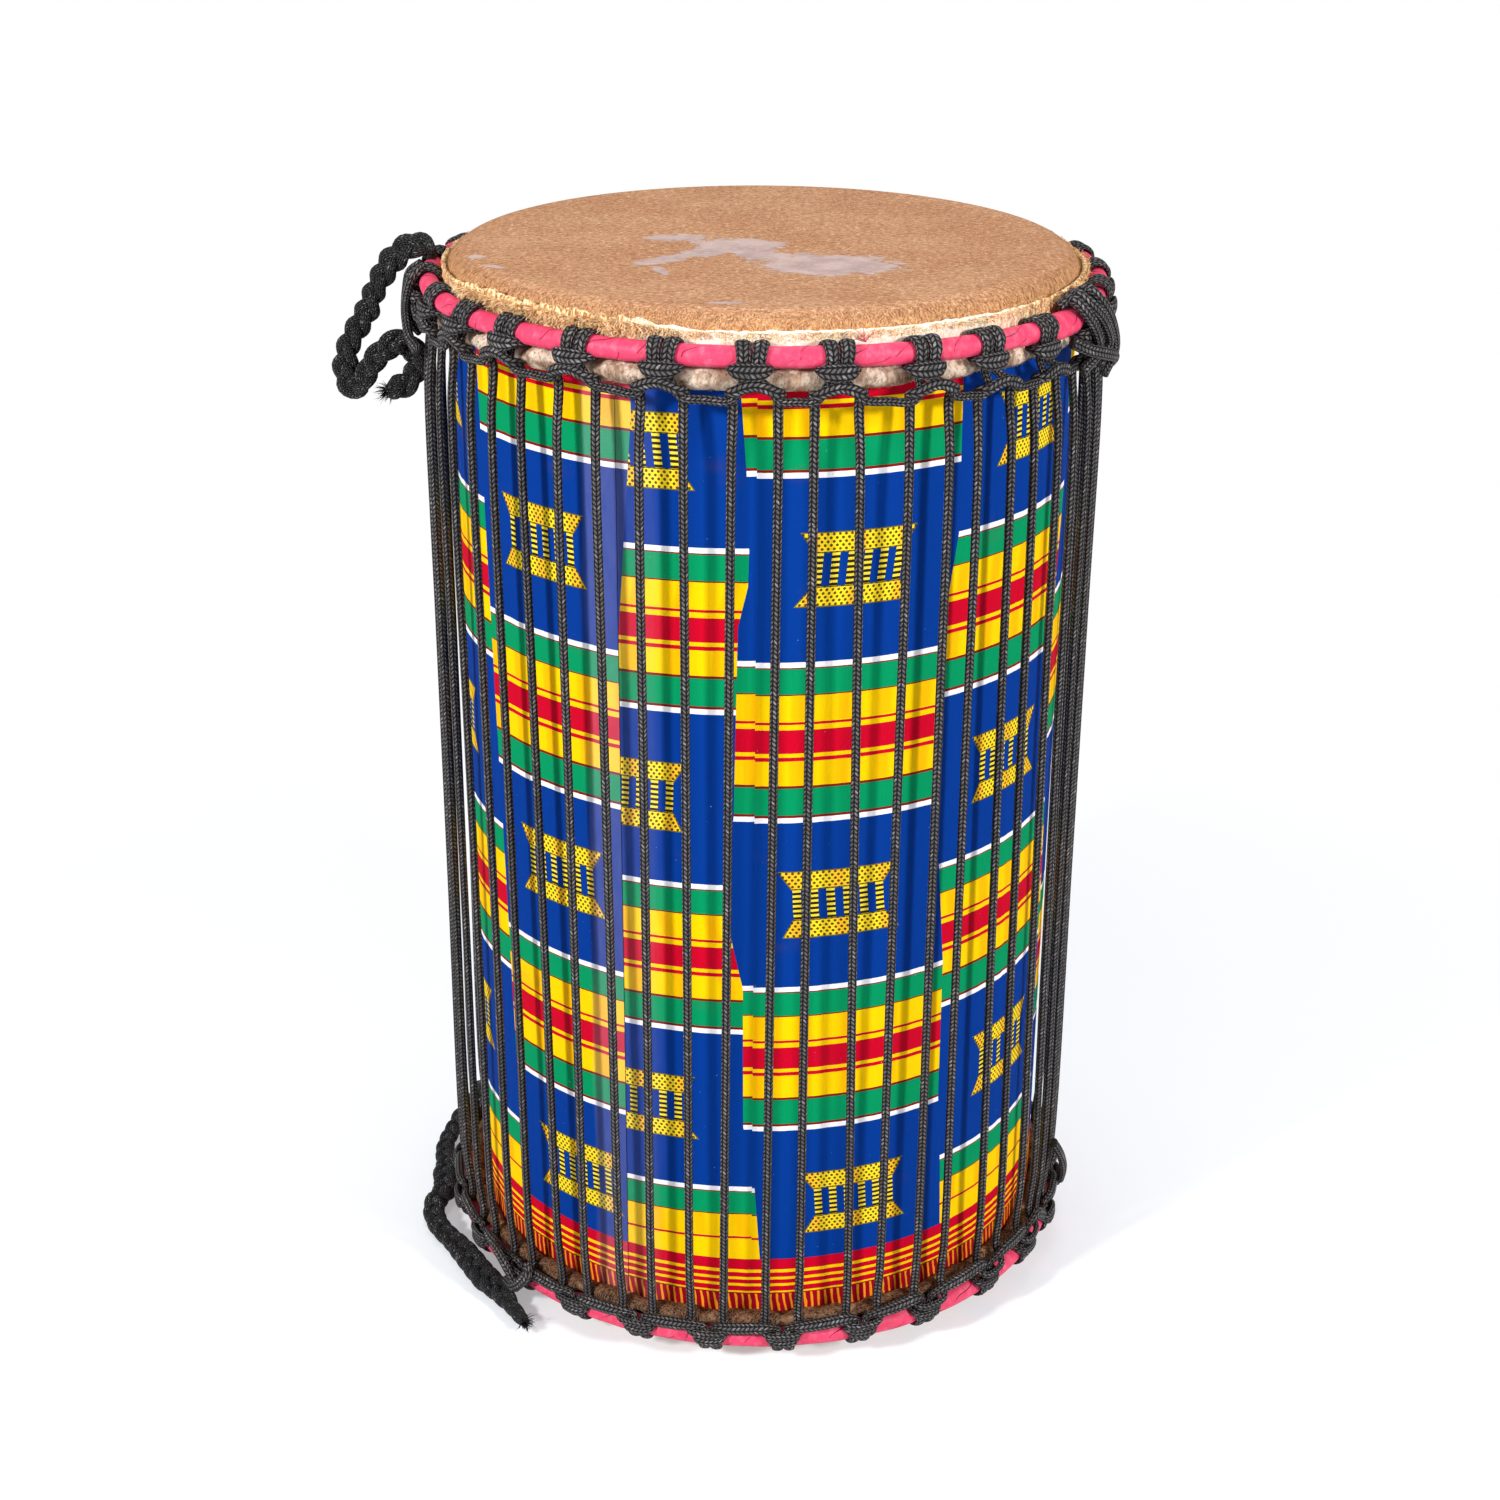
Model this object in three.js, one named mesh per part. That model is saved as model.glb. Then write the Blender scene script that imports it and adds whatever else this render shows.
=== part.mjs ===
// A dunun: a West African drum with a wooden body, two cowhide heads and rope lacing.
// All lengths are in millimetres and all angles in degrees. The drum stands on its lower head,
// with its axis along Z and the origin at the middle of that head. The front faces -Y.

import * as THREE from 'three';

// Body
const drumHeight = 600;
const shellRadius = 168;
const shellWall = 14;
const rimRounding = 16;
const rimInset = 6;
const rimFlat = 4;
const clothThickness = 0.6;
const clothTopDepth = 25;
const clothBottomDepth = 27;

// Heads
const skinThickness = 1.5;
const fleshRodRadius = 3.2;
const skinEdgeDepth = 10;

// Crown rings and the tape wound on them
const crownRadius = 179.8;
const crownRodRadius = 3.9;
const tapeRadius = 5.3;

// Ropes
const ropeWidth = 4.1;
const flatWidth = 5.8;
const flatThickness = 2.8;
const laceOut = 3.9;
const laceRadius = crownRadius + laceOut;
const hitchCount = 27;
const frontHitchAngle = -91.36;
const tailDiameter = 10;

const skinEdgeThickness = 1.3;

// How the ropes bend at a hitch
const earBulge = 0.8;
const earShift = 0.8;
const earLift = 0.8;
const laceEase = 1.4;
const laceSway = 2.3;
const laceRise = 1.6;
const laceDip = 0.7;
const laceTuck = 2.6;
const lacePinch = 0.86;

// Clearances
const seatGap = 0.3;
const glueGap = 0.08;
const skinFoldGap = 0.4;
const laceGap = 0.6;
const wrapGap = 0.5;
const tapeSlit = 0.5;

// Facets. Those of a crown ring start at a hitch, with two to each hitch.
const roundSegments = 36;
const crownSegments = hitchCount * 2;
const tailSides = 8;
const gapSamples = 16;

// The rope ends of the drum. Depths are counted from the face of the head at that end, and the
// values that end in Out from the crown ring's own line. The lower cradle is drawn closer to its
// ring than the upper one. The shifts are how far each hitch sits along its ring from an even
// spacing, starting with the one at the front and going round to its right.
const topEnd = {
  upright: true,
  firstHitch: frontHitchAngle,
  crownDepth: 18,
  fleshDepth: 30,
  legSpread: 4.2,
  hitchSpread: 9.8,
  neckDepth: 28.6,
  neckOut: 1.7,
  bandDepth: 27.2,
  bandOut: 7.8,
  bandReach: 8.2,
  bandWidth: 5.4,
  bandThickness: 2.6,
  crossDepth: 32.5,
  crossOut: 7.9,
  crossReach: 11,
  crossWidth: 4.2,
  crossThickness: 3.2,
  barDepth: 39,
  barOut: 5,
  footSpread: 8.6,
  strandSpread: 10.7,
  shifts: [
    1.2, 0.5, 5.6, 0.2, 2.6, 0.6, 1.4, -0.8, 0.9, -1.3, 0.4, 1.5, -0.6, 1.1,
    -1.6, 0.2, 1.3, -1.1, 0.7, -0.4, -2.6, -2.8, -4.6, -5.4, -4, -4.6, -1,
  ],
};
const bottomEnd = {
  upright: false,
  firstHitch: frontHitchAngle + 180 / hitchCount,
  crownDepth: 19,
  fleshDepth: 30.8,
  legSpread: 4,
  hitchSpread: 9.2,
  neckDepth: 28.4,
  neckOut: 1.5,
  bandDepth: 26.4,
  bandOut: 7.9,
  bandReach: 7.2,
  bandWidth: 3.9,
  bandThickness: 2.4,
  crossDepth: 30.2,
  crossOut: 7.9,
  crossReach: 10.2,
  crossWidth: 3,
  crossThickness: 3.4,
  barDepth: 35.5,
  barOut: 5.4,
  footSpread: 7.9,
  strandSpread: 9.8,
  shifts: [
    0.7, 2.7, 1.7, 4.8, 3.2, 1.4, -0.6, 0.9, 1.7, -1.2, 0.3, -0.9, 1.2, 0.5,
    -1.4, 0.8, -0.3, 1.1, -0.8, 0.6, -0.5, 0.4, 0.2, 1.1, 2.6, 4.6, 2.2,
  ],
};

// Angles round a crown ring where the wraps of a hitch turn, in degrees from straight outwards,
// and how far each has moved from the leg towards the outer side of the hitch.
const wrapAngles = [-30, 30, 90, 150, 210, 270];
const wrapShares = [0, 0.1, 0.2, 0.38, 0.65, 1];
const wrapWidthShares = [0.9, 1, 1, 0.95, 0.9, 0.8];

// Free tails, as points along the rope. They stay as chosen when the sizes above are changed.
const topTailRoute = [
  [-179.8, 2, 587.55], [-181.1, 2, 591.4], [-184.9, 1.6, 594.4], [-190.4, 1, 594.8], [-197, 0, 590.6],
  [-203.5, 0, 583.6], [-208.4, 0, 575.7],
  [-213, 1, 567], [-216.8, 2, 558.1], [-221, 2, 551.5], [-224, 1, 546.2], [-227.4, 0, 540],
  [-229, -1, 533], [-229.6, -2.5, 525.5], [-227.6, -5, 519.4], [-222.6, -8.5, 518.6], [-217.8, -11, 524.6],
  [-213.6, -12, 532], [-208, -12.4, 538.6], [-201, -12, 543.6], [-194.6, -11, 544.4], [-190.2, -9.6, 539.6],
  [-189.2, -8.6, 532], [-191.6, -8.6, 524.4], [-198, -9.4, 519.2], [-206, -10, 516.4],
];
const bottomTailRoute = [
  [-171.9, 79.1, 26.4], [-176.5, 81.3, 25.8], [-183, 81.4, 22], [-189.4, 76.6, 15.4], [-194.2, 68, 9.4],
  [-198, 56, 6.4], [-200.8, 43, 5.8], [-201.4, 31.1, 5.7], [-200, 22, 5.7], [-197.6, 14.7, 5.7],
  [-197.2, 6, 5.7], [-197, -2.6, 5.7], [-194.8, -13, 5.7], [-195, -22.8, 5.7], [-198.4, -32, 5.7],
  [-198.8, -41, 5.7], [-196.4, -50, 5.7], [-191.9, -60.1, 5.7], [-181.9, -74, 5.7], [-170, -92.9, 5.7],
  [-157.7, -113, 5.7], [-147.2, -125, 5.7], [-139.8, -137.9, 5.7], [-130, -153.5, 5.7],
];

const part = new THREE.Group();

function addPiece(name, geometry, color, roughness, metalness) {
  const material = new THREE.MeshStandardMaterial({ color, roughness, metalness });
  const mesh = new THREE.Mesh(geometry, material);
  mesh.name = name;
  part.add(mesh);
}

// The height of a point above the floor, from its depth below the face of the head at one end.
function heightAt(end, depth) {
  return end.upright ? drumHeight - depth : depth;
}

// A solid of revolution about Z, from a closed outline of [radius, height] points.
function revolve(outline, segments = roundSegments, firstAngle = -90) {
  let area = 0;
  outline.forEach(([r, z], i) => {
    const [nextR, nextZ] = outline[(i + 1) % outline.length];
    area += r * nextZ - nextR * z;
  });
  const ordered = area > 0 ? outline : [...outline].reverse();
  const points = ordered.map(([r, z]) => new THREE.Vector2(r, z));
  if (!outline.some(([r]) => r === 0)) {
    points.push(points[0].clone());
  }
  const start = THREE.MathUtils.degToRad(firstAngle + 90);
  const geometry = new THREE.LatheGeometry(points, segments, start);
  geometry.rotateX(Math.PI / 2);
  return geometry;
}

// A solid of revolution at one end of the drum, from an outline of [radius, depth] points.
function revolveEnd(end, outline, segments, firstAngle) {
  return revolve(outline.map(([r, depth]) => [r, heightAt(end, depth)]), segments, firstAngle);
}

// A point of a circle in the radial plane, as [radius, depth]. The angle is counted from
// straight outwards, and grows towards the face of the head.
function circlePoint(radius, depth, size, degrees) {
  const angle = THREE.MathUtils.degToRad(degrees);
  return [radius + size * Math.cos(angle), depth - size * Math.sin(angle)];
}

// Wooden body: a straight tube with rims rounded on the outside and bevelled to the bore.
const rimDepth = skinThickness + seatGap;
const rimOutline = [
  [shellRadius, rimDepth + rimRounding],
  [shellRadius - rimInset * 0.13, rimDepth + rimRounding * 0.5],
  [shellRadius - rimInset * 0.46, rimDepth + rimRounding * 0.15],
  [shellRadius - rimInset, rimDepth],
  [shellRadius - rimInset - rimFlat, rimDepth],
  [shellRadius - shellWall, rimDepth + rimRounding * 0.6],
];
addPiece(
  'shell',
  revolve([
    ...rimOutline.map(([r, depth]) => [r, heightAt(topEnd, depth)]).reverse(),
    ...rimOutline.map(([r, depth]) => [r, heightAt(bottomEnd, depth)]),
  ]),
  0x8a5a34, 0.6, 0
);

// Printed cloth glued round the body.
const clothInner = shellRadius + glueGap;
const clothOuter = clothInner + clothThickness;
addPiece(
  'cloth_wrap',
  revolve([
    [clothInner, clothBottomDepth],
    [clothOuter, clothBottomDepth],
    [clothOuter, drumHeight - clothTopDepth],
    [clothInner, drumHeight - clothTopDepth],
  ]),
  0x00308c, 0.85, 0
);

// Heads. Each hide lies over the rim, runs down to its flesh ring, turns round the ring and
// ends in an upright trimmed edge outside the collar.
const rollRadius = fleshRodRadius + seatGap + skinThickness;
const rollBore = fleshRodRadius + seatGap;
const rollCentre = clothOuter + seatGap + rollRadius;
const collarInner = shellRadius + seatGap;
const collarOuter = collarInner + skinThickness;
const edgeInner = collarOuter + skinFoldGap;
const edgeOuter = edgeInner + skinEdgeThickness;
const faceRadius = shellRadius - rimInset;
const collarDepth = rimDepth + rimRounding;

function addHead(name, end) {
  const lipDepth = end.fleshDepth - rollBore * 0.95;
  const roll = (size, degrees) => circlePoint(rollCentre, end.fleshDepth, size, degrees);
  addPiece(
    name,
    revolveEnd(end, [
      [0, 0],
      [faceRadius - skinThickness * 0.4, 0],
      [faceRadius + rimInset * 0.65, rimRounding * 0.15],
      [collarOuter - rimInset * 0.13, rimRounding * 0.58],
      [collarOuter, collarDepth],
      [collarOuter + skinFoldGap, lipDepth],
      roll(rollBore, 180),
      roll(rollBore, 240),
      roll(rollBore, 300),
      roll(rollBore, 0),
      roll(rollBore, 60),
      [edgeInner + skinFoldGap * 1.5, lipDepth],
      [edgeInner, collarDepth],
      [edgeInner, skinEdgeDepth],
      [edgeOuter, skinEdgeDepth],
      [edgeOuter, collarDepth],
      [edgeOuter + skinFoldGap * 0.7, lipDepth - skinThickness * 1.2],
      roll(rollRadius, 60),
      roll(rollRadius, 0),
      roll(rollRadius, 300),
      roll(rollRadius, 240),
      roll(rollRadius, 180),
      [clothOuter + seatGap, clothTopDepth - seatGap],
      [collarInner, collarDepth],
      [collarInner - rimInset * 0.13, rimDepth + rimRounding * 0.5],
      [faceRadius + rimInset * 0.54 + seatGap * 0.4, rimDepth + rimRounding * 0.15 - seatGap],
      [faceRadius, skinThickness],
      [0, skinThickness],
    ]),
    0xbe8c64, 0.8, 0
  );
}
addHead('top_head', topEnd);
addHead('bottom_head', bottomEnd);

// Steel rods, with six flats each.
function addFleshRing(name, end) {
  const outline = wrapAngles.map((degrees) =>
    circlePoint(rollCentre, end.fleshDepth, fleshRodRadius, degrees + 30));
  addPiece(name, revolveEnd(end, outline), 0x9a9a9a, 0.4, 1);
}
addFleshRing('top_flesh_ring', topEnd);
addFleshRing('bottom_flesh_ring', bottomEnd);

function crownOutline(end, size) {
  return wrapAngles.map((degrees) => circlePoint(crownRadius, end.crownDepth, size, degrees));
}

function addCrownRing(name, end) {
  const geometry = revolveEnd(end, crownOutline(end, crownRodRadius), crownSegments, end.firstHitch);
  addPiece(name, geometry, 0x9a9a9a, 0.4, 1);
}
addCrownRing('top_crown_ring', topEnd);
addCrownRing('bottom_crown_ring', bottomEnd);

// Tape round each crown ring, open along a slit that faces the drum.
function addTape(name, end) {
  const outer = crownOutline(end, tapeRadius);
  const bore = crownRodRadius + seatGap;
  const inner = crownOutline(end, bore);
  const flatShare = Math.cos(Math.PI / 6);
  const slitTop = end.crownDepth - tapeSlit / 2;
  const slitBottom = end.crownDepth + tapeSlit / 2;
  addPiece(
    name,
    revolveEnd(end, [
      [crownRadius - tapeRadius * flatShare, slitBottom],
      ...outer.slice(4),
      ...outer.slice(0, 4),
      [crownRadius - tapeRadius * flatShare, slitTop],
      [crownRadius - bore * flatShare, slitTop],
      ...inner.slice(0, 4).reverse(),
      ...inner.slice(4).reverse(),
      [crownRadius - bore * flatShare, slitBottom],
    ], crownSegments, end.firstHitch),
    0xf54678, 0.9, 0
  );
}
addTape('top_ring_wrap', topEnd);
addTape('bottom_ring_wrap', bottomEnd);

// Ropes that the drum holds along their whole length. A rope is a list of stations, each with a
// four-sided section. A station is placed by its angle round the drum, its radius and its depth
// from an end; face is the direction of the section's thickness, as [outwards, towards the head].
function station(end, hitch, across, radius, depth, face, width, thickness) {
  const step = 360 / hitchCount;
  const hitchAngle = THREE.MathUtils.degToRad(end.firstHitch + hitch * step);
  const turn = hitchAngle + (end.shifts[hitch] + across) / laceRadius;
  const outwards = new THREE.Vector3(Math.cos(turn), Math.sin(turn), 0);
  const headwards = new THREE.Vector3(0, 0, end.upright ? 1 : -1);
  const centre = outwards.clone().multiplyScalar(radius);
  centre.z = heightAt(end, depth);
  const normal = outwards.clone().multiplyScalar(face[0]).addScaledVector(headwards, face[1]);
  const around = new THREE.Vector3(-Math.sin(turn), Math.cos(turn), 0);
  return { centre, normal: normal.normalize(), around, level: false, width, thickness };
}

// Gives every station of a closed rope its section axes. A level station keeps its width along
// the crown ring, so that the rope lies flat on the facets of the tape.
function setAxes(stations) {
  const count = stations.length;
  stations.forEach((here, i) => {
    const before = stations[(i + count - 1) % count].centre;
    const after = stations[(i + 1) % count].centre;
    const forward = after.clone().sub(here.centre).normalize();
    forward.add(here.centre.clone().sub(before).normalize());
    if (here.level) {
      forward.projectOnPlane(here.around);
    }
    forward.normalize();
    here.side = forward.clone().cross(here.normal).normalize();
    here.lift = here.side.clone().cross(forward).normalize();
  });
  return stations;
}

// A closed tube through the sections of a rope.
function ropeGeometry(stations) {
  const positions = [];
  const indices = [];
  const corners = [[1, 1], [-1, 1], [-1, -1], [1, -1]];
  stations.forEach((here) => {
    corners.forEach(([x, y]) => {
      const corner = here.centre.clone();
      corner.addScaledVector(here.side, x * here.width / 2);
      corner.addScaledVector(here.lift, y * here.thickness / 2);
      positions.push(corner.x, corner.y, corner.z);
    });
  });
  stations.forEach((_, i) => {
    const next = (i + 1) % stations.length;
    corners.forEach((__, j) => {
      const a = i * 4 + j;
      const b = i * 4 + (j + 1) % 4;
      const c = next * 4 + j;
      const d = next * 4 + (j + 1) % 4;
      indices.push(a, c, b, b, c, d);
    });
  });
  const geometry = new THREE.BufferGeometry();
  geometry.setAttribute('position', new THREE.Float32BufferAttribute(positions, 3));
  geometry.setIndex(indices);
  geometry.computeVertexNormals();
  return geometry;
}

// The distance from a point to the stretch of rope between two stations.
function distanceToRope(point, from, to) {
  const run = to.centre.clone().sub(from.centre);
  const rise = point.clone().sub(from.centre);
  const share = Math.min(1, Math.max(0, rise.dot(run) / run.lengthSq()));
  const offset = point.clone().sub(from.centre.clone().addScaledVector(run, share));
  const side = from.side.clone().lerp(to.side, share).normalize();
  const lift = from.lift.clone().lerp(to.lift, share).normalize();
  const x = offset.dot(side);
  const y = offset.dot(lift);
  const along = Math.sqrt(Math.max(0, offset.lengthSq() - x * x - y * y));
  const width = THREE.MathUtils.lerp(from.width, to.width, share);
  const thickness = THREE.MathUtils.lerp(from.thickness, to.thickness, share);
  const overX = Math.max(0, Math.abs(x) - width / 2);
  const overY = Math.max(0, Math.abs(y) - thickness / 2);
  return Math.hypot(overX, overY, along);
}

// The least gap between the first stretch of one rope and the whole of another, or between
// stretches of one rope that are not neighbours.
function leastGap(name, rope, other, tested, neighbours) {
  let least = Infinity;
  let place = '';
  const count = other.length;
  for (let i = 0; i < tested; i += 1) {
    const from = rope[i];
    const to = rope[(i + 1) % rope.length];
    for (let k = 0; k <= gapSamples; k += 1) {
      const share = k / gapSamples;
      for (const [x, y] of [[1, 1], [-1, 1], [-1, -1], [1, -1], [0, 1], [0, -1], [1, 0], [-1, 0]]) {
        const point = from.centre.clone().lerp(to.centre, share);
        const width = THREE.MathUtils.lerp(from.width, to.width, share);
        const thickness = THREE.MathUtils.lerp(from.thickness, to.thickness, share);
        point.addScaledVector(from.side.clone().lerp(to.side, share).normalize(), x * width / 2);
        point.addScaledVector(from.lift.clone().lerp(to.lift, share).normalize(), y * thickness / 2);
        for (let j = 0; j < count; j += 1) {
          const apart = Math.min((j - i + count) % count, (i - j + count) % count);
          if (rope === other && apart <= neighbours) {
            continue;
          }
          if (point.distanceToSquared(other[j].centre) > 2500) {
            continue;
          }
          const gap = distanceToRope(point, other[j], other[(j + 1) % count]);
          if (gap < least) {
            least = gap;
            place = `${i} and ${j}`;
          }
        }
      }
    }
  }
  console.log(`${name}: least gap ${least.toFixed(2)} mm, between stations ${place}`);
}

// How much nearer to the axis a facet of a crown ring is at a distance from a hitch's even
// place, as a share of the radius at the facet's edge.
function facetShare(across) {
  const half = Math.PI / crownSegments;
  const angle = THREE.MathUtils.euclideanModulo(across / laceRadius, 2 * half);
  return Math.cos(half) / Math.cos(angle - half);
}

// Half of one hitch, from its bar to the middle of its band. The rope comes in from the bar,
// passes behind the band, over the outside of the crown ring, round it, and back out below it.
function halfHitch(end, hitch, sign) {
  const at = (across, radius, depth, face, width, thickness) =>
    station(end, hitch, sign * across, radius, depth, face, width, thickness);
  const wrapRadius = tapeRadius + wrapGap + flatThickness / 2;
  const wraps = wrapAngles.map((degrees, i) => {
    const [radius, depth] = circlePoint(crownRadius, end.crownDepth, wrapRadius, degrees);
    const angle = THREE.MathUtils.degToRad(degrees);
    const across = THREE.MathUtils.lerp(end.legSpread, end.hitchSpread, wrapShares[i]);
    const face = [Math.cos(angle), Math.sin(angle)];
    const facet = facetShare(end.shifts[hitch] + sign * across);
    const wrap = at(across, radius * facet, depth, face, flatWidth * wrapWidthShares[i], flatThickness);
    wrap.level = true;
    return wrap;
  });
  const earRadius = crownRadius + end.bandOut / 2 + earShift;
  return [
    at(end.footSpread, crownRadius + end.barOut, end.barDepth, [1, 0], ropeWidth, ropeWidth),
    at(end.legSpread, crownRadius + end.neckOut, end.neckDepth, [1, 0], ropeWidth * 1.1, ropeWidth * 0.9),
    ...wraps,
    at(end.hitchSpread + earBulge, earRadius, end.bandDepth - earLift, [0, -1], ropeWidth * 0.95, ropeWidth * 0.8),
    at(end.bandReach, crownRadius + end.bandOut, end.bandDepth, [0, -1], end.bandThickness, end.bandWidth),
  ];
}

function cradleStations(end) {
  const stations = [];
  for (let hitch = 0; hitch < hitchCount; hitch += 1) {
    stations.push(...halfHitch(end, hitch, -1));
    stations.push(...halfHitch(end, hitch, 1).reverse());
  }
  return setAxes(stations);
}

// The turn of the lacing at one hitch. It comes up behind the bar on one side, over the bar,
// across in front of the two legs below the band, and down behind the bar on the other side.
function lacingTurn(end, hitch) {
  const half = (sign) => {
    const at = (across, radius, depth, face, width, thickness) =>
      station(end, hitch, sign * across, radius, depth, face, width, thickness);
    const behindRadius = crownRadius + end.barOut - ropeWidth - laceGap;
    return [
      at(end.strandSpread + laceEase, behindRadius, end.barDepth - laceTuck, [-1, 0], ropeWidth, ropeWidth),
      at(
        end.strandSpread + laceSway, behindRadius + laceRise, end.crossDepth + laceDip, [-1, 1],
        ropeWidth * lacePinch, end.crossThickness * lacePinch
      ),
      at(end.crossReach, crownRadius + end.crossOut, end.crossDepth, [0, 1], end.crossThickness, end.crossWidth),
    ];
  };
  return [...half(-1), ...half(1).reverse()];
}

// The lacing goes from the right side of each upper hitch to the left side of the lower hitch
// next to it, and from that hitch's right side up again. Its tied ends are drawn joined.
function lacingStations() {
  const stations = [];
  for (let hitch = 0; hitch < hitchCount; hitch += 1) {
    stations.push(...lacingTurn(topEnd, hitch));
    stations.push(...lacingTurn(bottomEnd, hitch));
  }
  return setAxes(stations);
}

const ropeColor = 0x2d2d2d;
const topCradle = cradleStations(topEnd);
const bottomCradle = cradleStations(bottomEnd);
const lacing = lacingStations();
addPiece('top_cradle', ropeGeometry(topCradle), ropeColor, 0.9, 0);
addPiece('bottom_cradle', ropeGeometry(bottomCradle), ropeColor, 0.9, 0);
addPiece('lacing', ropeGeometry(lacing), ropeColor, 0.9, 0);
leastGap('top_cradle', topCradle, topCradle, 20, 3);
leastGap('bottom_cradle', bottomCradle, bottomCradle, 20, 3);
leastGap('lacing', lacing, lacing, 12, 3);
leastGap('lacing to top_cradle', lacing, topCradle, 6, 0);
leastGap('lacing to bottom_cradle', lacing.slice(6), bottomCradle, 6, 0);

// Free tails: a round tube along each route.
function addTail(name, route) {
  const curve = new THREE.CatmullRomCurve3(route.map((point) => new THREE.Vector3(...point)));
  const section = new THREE.Shape();
  for (let i = 0; i < tailSides; i += 1) {
    const angle = (i + 0.5) * 2 * Math.PI / tailSides;
    const x = tailDiameter / 2 * Math.cos(angle);
    const y = tailDiameter / 2 * Math.sin(angle);
    if (i === 0) {
      section.moveTo(x, y);
    } else {
      section.lineTo(x, y);
    }
  }
  section.closePath();
  const steps = Math.round(curve.getLength() / tailDiameter);
  addPiece(
    name,
    new THREE.ExtrudeGeometry(section, { steps, bevelEnabled: false, extrudePath: curve }),
    ropeColor, 0.9, 0
  );
}
addTail('top_tail', topTailRoute);
addTail('bottom_tail', bottomTailRoute);

export default part;
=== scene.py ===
"""A dunun drum in Blender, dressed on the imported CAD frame.

Lengths are in millimetres until they are handed to Blender, which gets metres. The drum stands on
its lower head, with its axis along Z, and its front faces -Y.
"""

from __future__ import annotations

import logging
import math
from dataclasses import dataclass
from enum import Enum
from typing import Callable, Sequence

import bpy
import numpy as np
from mathutils import Matrix, Vector

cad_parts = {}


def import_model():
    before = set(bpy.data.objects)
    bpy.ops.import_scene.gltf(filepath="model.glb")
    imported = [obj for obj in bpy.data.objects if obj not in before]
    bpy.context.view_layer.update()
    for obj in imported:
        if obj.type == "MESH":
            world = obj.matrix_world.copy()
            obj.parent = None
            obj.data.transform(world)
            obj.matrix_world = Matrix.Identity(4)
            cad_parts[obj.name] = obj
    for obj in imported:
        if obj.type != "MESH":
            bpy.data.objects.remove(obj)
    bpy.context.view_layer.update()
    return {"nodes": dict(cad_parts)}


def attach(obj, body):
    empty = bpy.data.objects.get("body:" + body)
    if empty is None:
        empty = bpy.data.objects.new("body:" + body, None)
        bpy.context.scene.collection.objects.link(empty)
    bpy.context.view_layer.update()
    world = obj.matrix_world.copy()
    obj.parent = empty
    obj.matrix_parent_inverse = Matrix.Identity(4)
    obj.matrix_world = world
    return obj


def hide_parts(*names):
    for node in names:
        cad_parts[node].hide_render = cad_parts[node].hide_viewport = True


log = logging.getLogger("dunun")

Array = np.ndarray
Material = bpy.types.Material
Socket = bpy.types.NodeSocket
Colour = tuple[float, float, float]
Pair = tuple[float, float]
Point = tuple[float, float, float]

MM = 0.001
HEIGHT_MM = 600.0
HITCHES = 27
PITCH = math.tau / HITCHES
FIRST_HITCH = math.radians(-91.36)
LACE_RADIUS_MM = 183.7
CROWN_RADIUS_MM = 179.8
FLESH_RADIUS_MM = 174.0
CLOTH_RADIUS_MM = 168.72
CLOTH_ROUND_MM = math.tau * CLOTH_RADIUS_MM
UP = np.array([0.0, 0.0, 1.0])
LEVEL = np.array([1.0, 1.0, 0.0])


class Slot(Enum):
    """The record's material slots."""

    CLOTH = "printed_cloth"
    HIDE = "hide"
    STEEL = "ring_steel"
    TAPE = "pink_tape"
    ROPE = "black_rope"


def srgb(red: float, green: float, blue: float) -> Colour:
    """Turns a colour from screen values, 0 to 255, into linear ones, 0 to 1."""
    shares = (value / 255.0 for value in (red, green, blue))
    return tuple(s / 12.92 if s <= 0.04045 else ((s + 0.055) / 1.055) ** 2.4 for s in shares)


def math_method(operation: str) -> Callable[..., Field]:
    """Makes a method of Field that adds one math node.

    Args:
        operation: The node's operation.

    Returns:
        The method, which takes the other operand where the operation has one.
    """
    def method(field: Field, *others: Field | float) -> Field:
        """Adds the node, and gives its result."""
        return field.graph.math(operation, field, *others)

    return method


class Field:
    """A number in a shader graph, with the usual operators.

    Less and more give one where they hold and zero elsewhere, and least and most give the lesser
    and the greater of two numbers.
    """

    def __init__(self, graph: Graph, socket: Socket) -> None:
        """Keeps the graph and the socket that the number comes from."""
        self.graph = graph
        self.socket = socket

    __add__ = __radd__ = math_method("ADD")
    __sub__ = math_method("SUBTRACT")
    __mul__ = __rmul__ = math_method("MULTIPLY")
    __truediv__ = math_method("DIVIDE")
    __mod__ = math_method("FLOORED_MODULO")
    __pow__ = math_method("POWER")
    __abs__ = math_method("ABSOLUTE")
    floor = math_method("FLOOR")
    cosine = math_method("COSINE")
    less = math_method("LESS_THAN")
    more = math_method("GREATER_THAN")
    least = math_method("MINIMUM")
    most = math_method("MAXIMUM")

    def __rsub__(self, other: float) -> Field:
        """Takes this away from a plain number."""
        return self.graph.math("SUBTRACT", other, self)

    def ramp(self, low: float, high: float) -> Field:
        """Rises smoothly from zero at one value to one at the other, which may be the lesser."""
        feeds = {"Value": self, "From Min": low, "From Max": high}
        node = self.graph.node("MapRange", feeds, interpolation_type="SMOOTHSTEP")
        return Field(self.graph, node.outputs["Result"])


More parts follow.
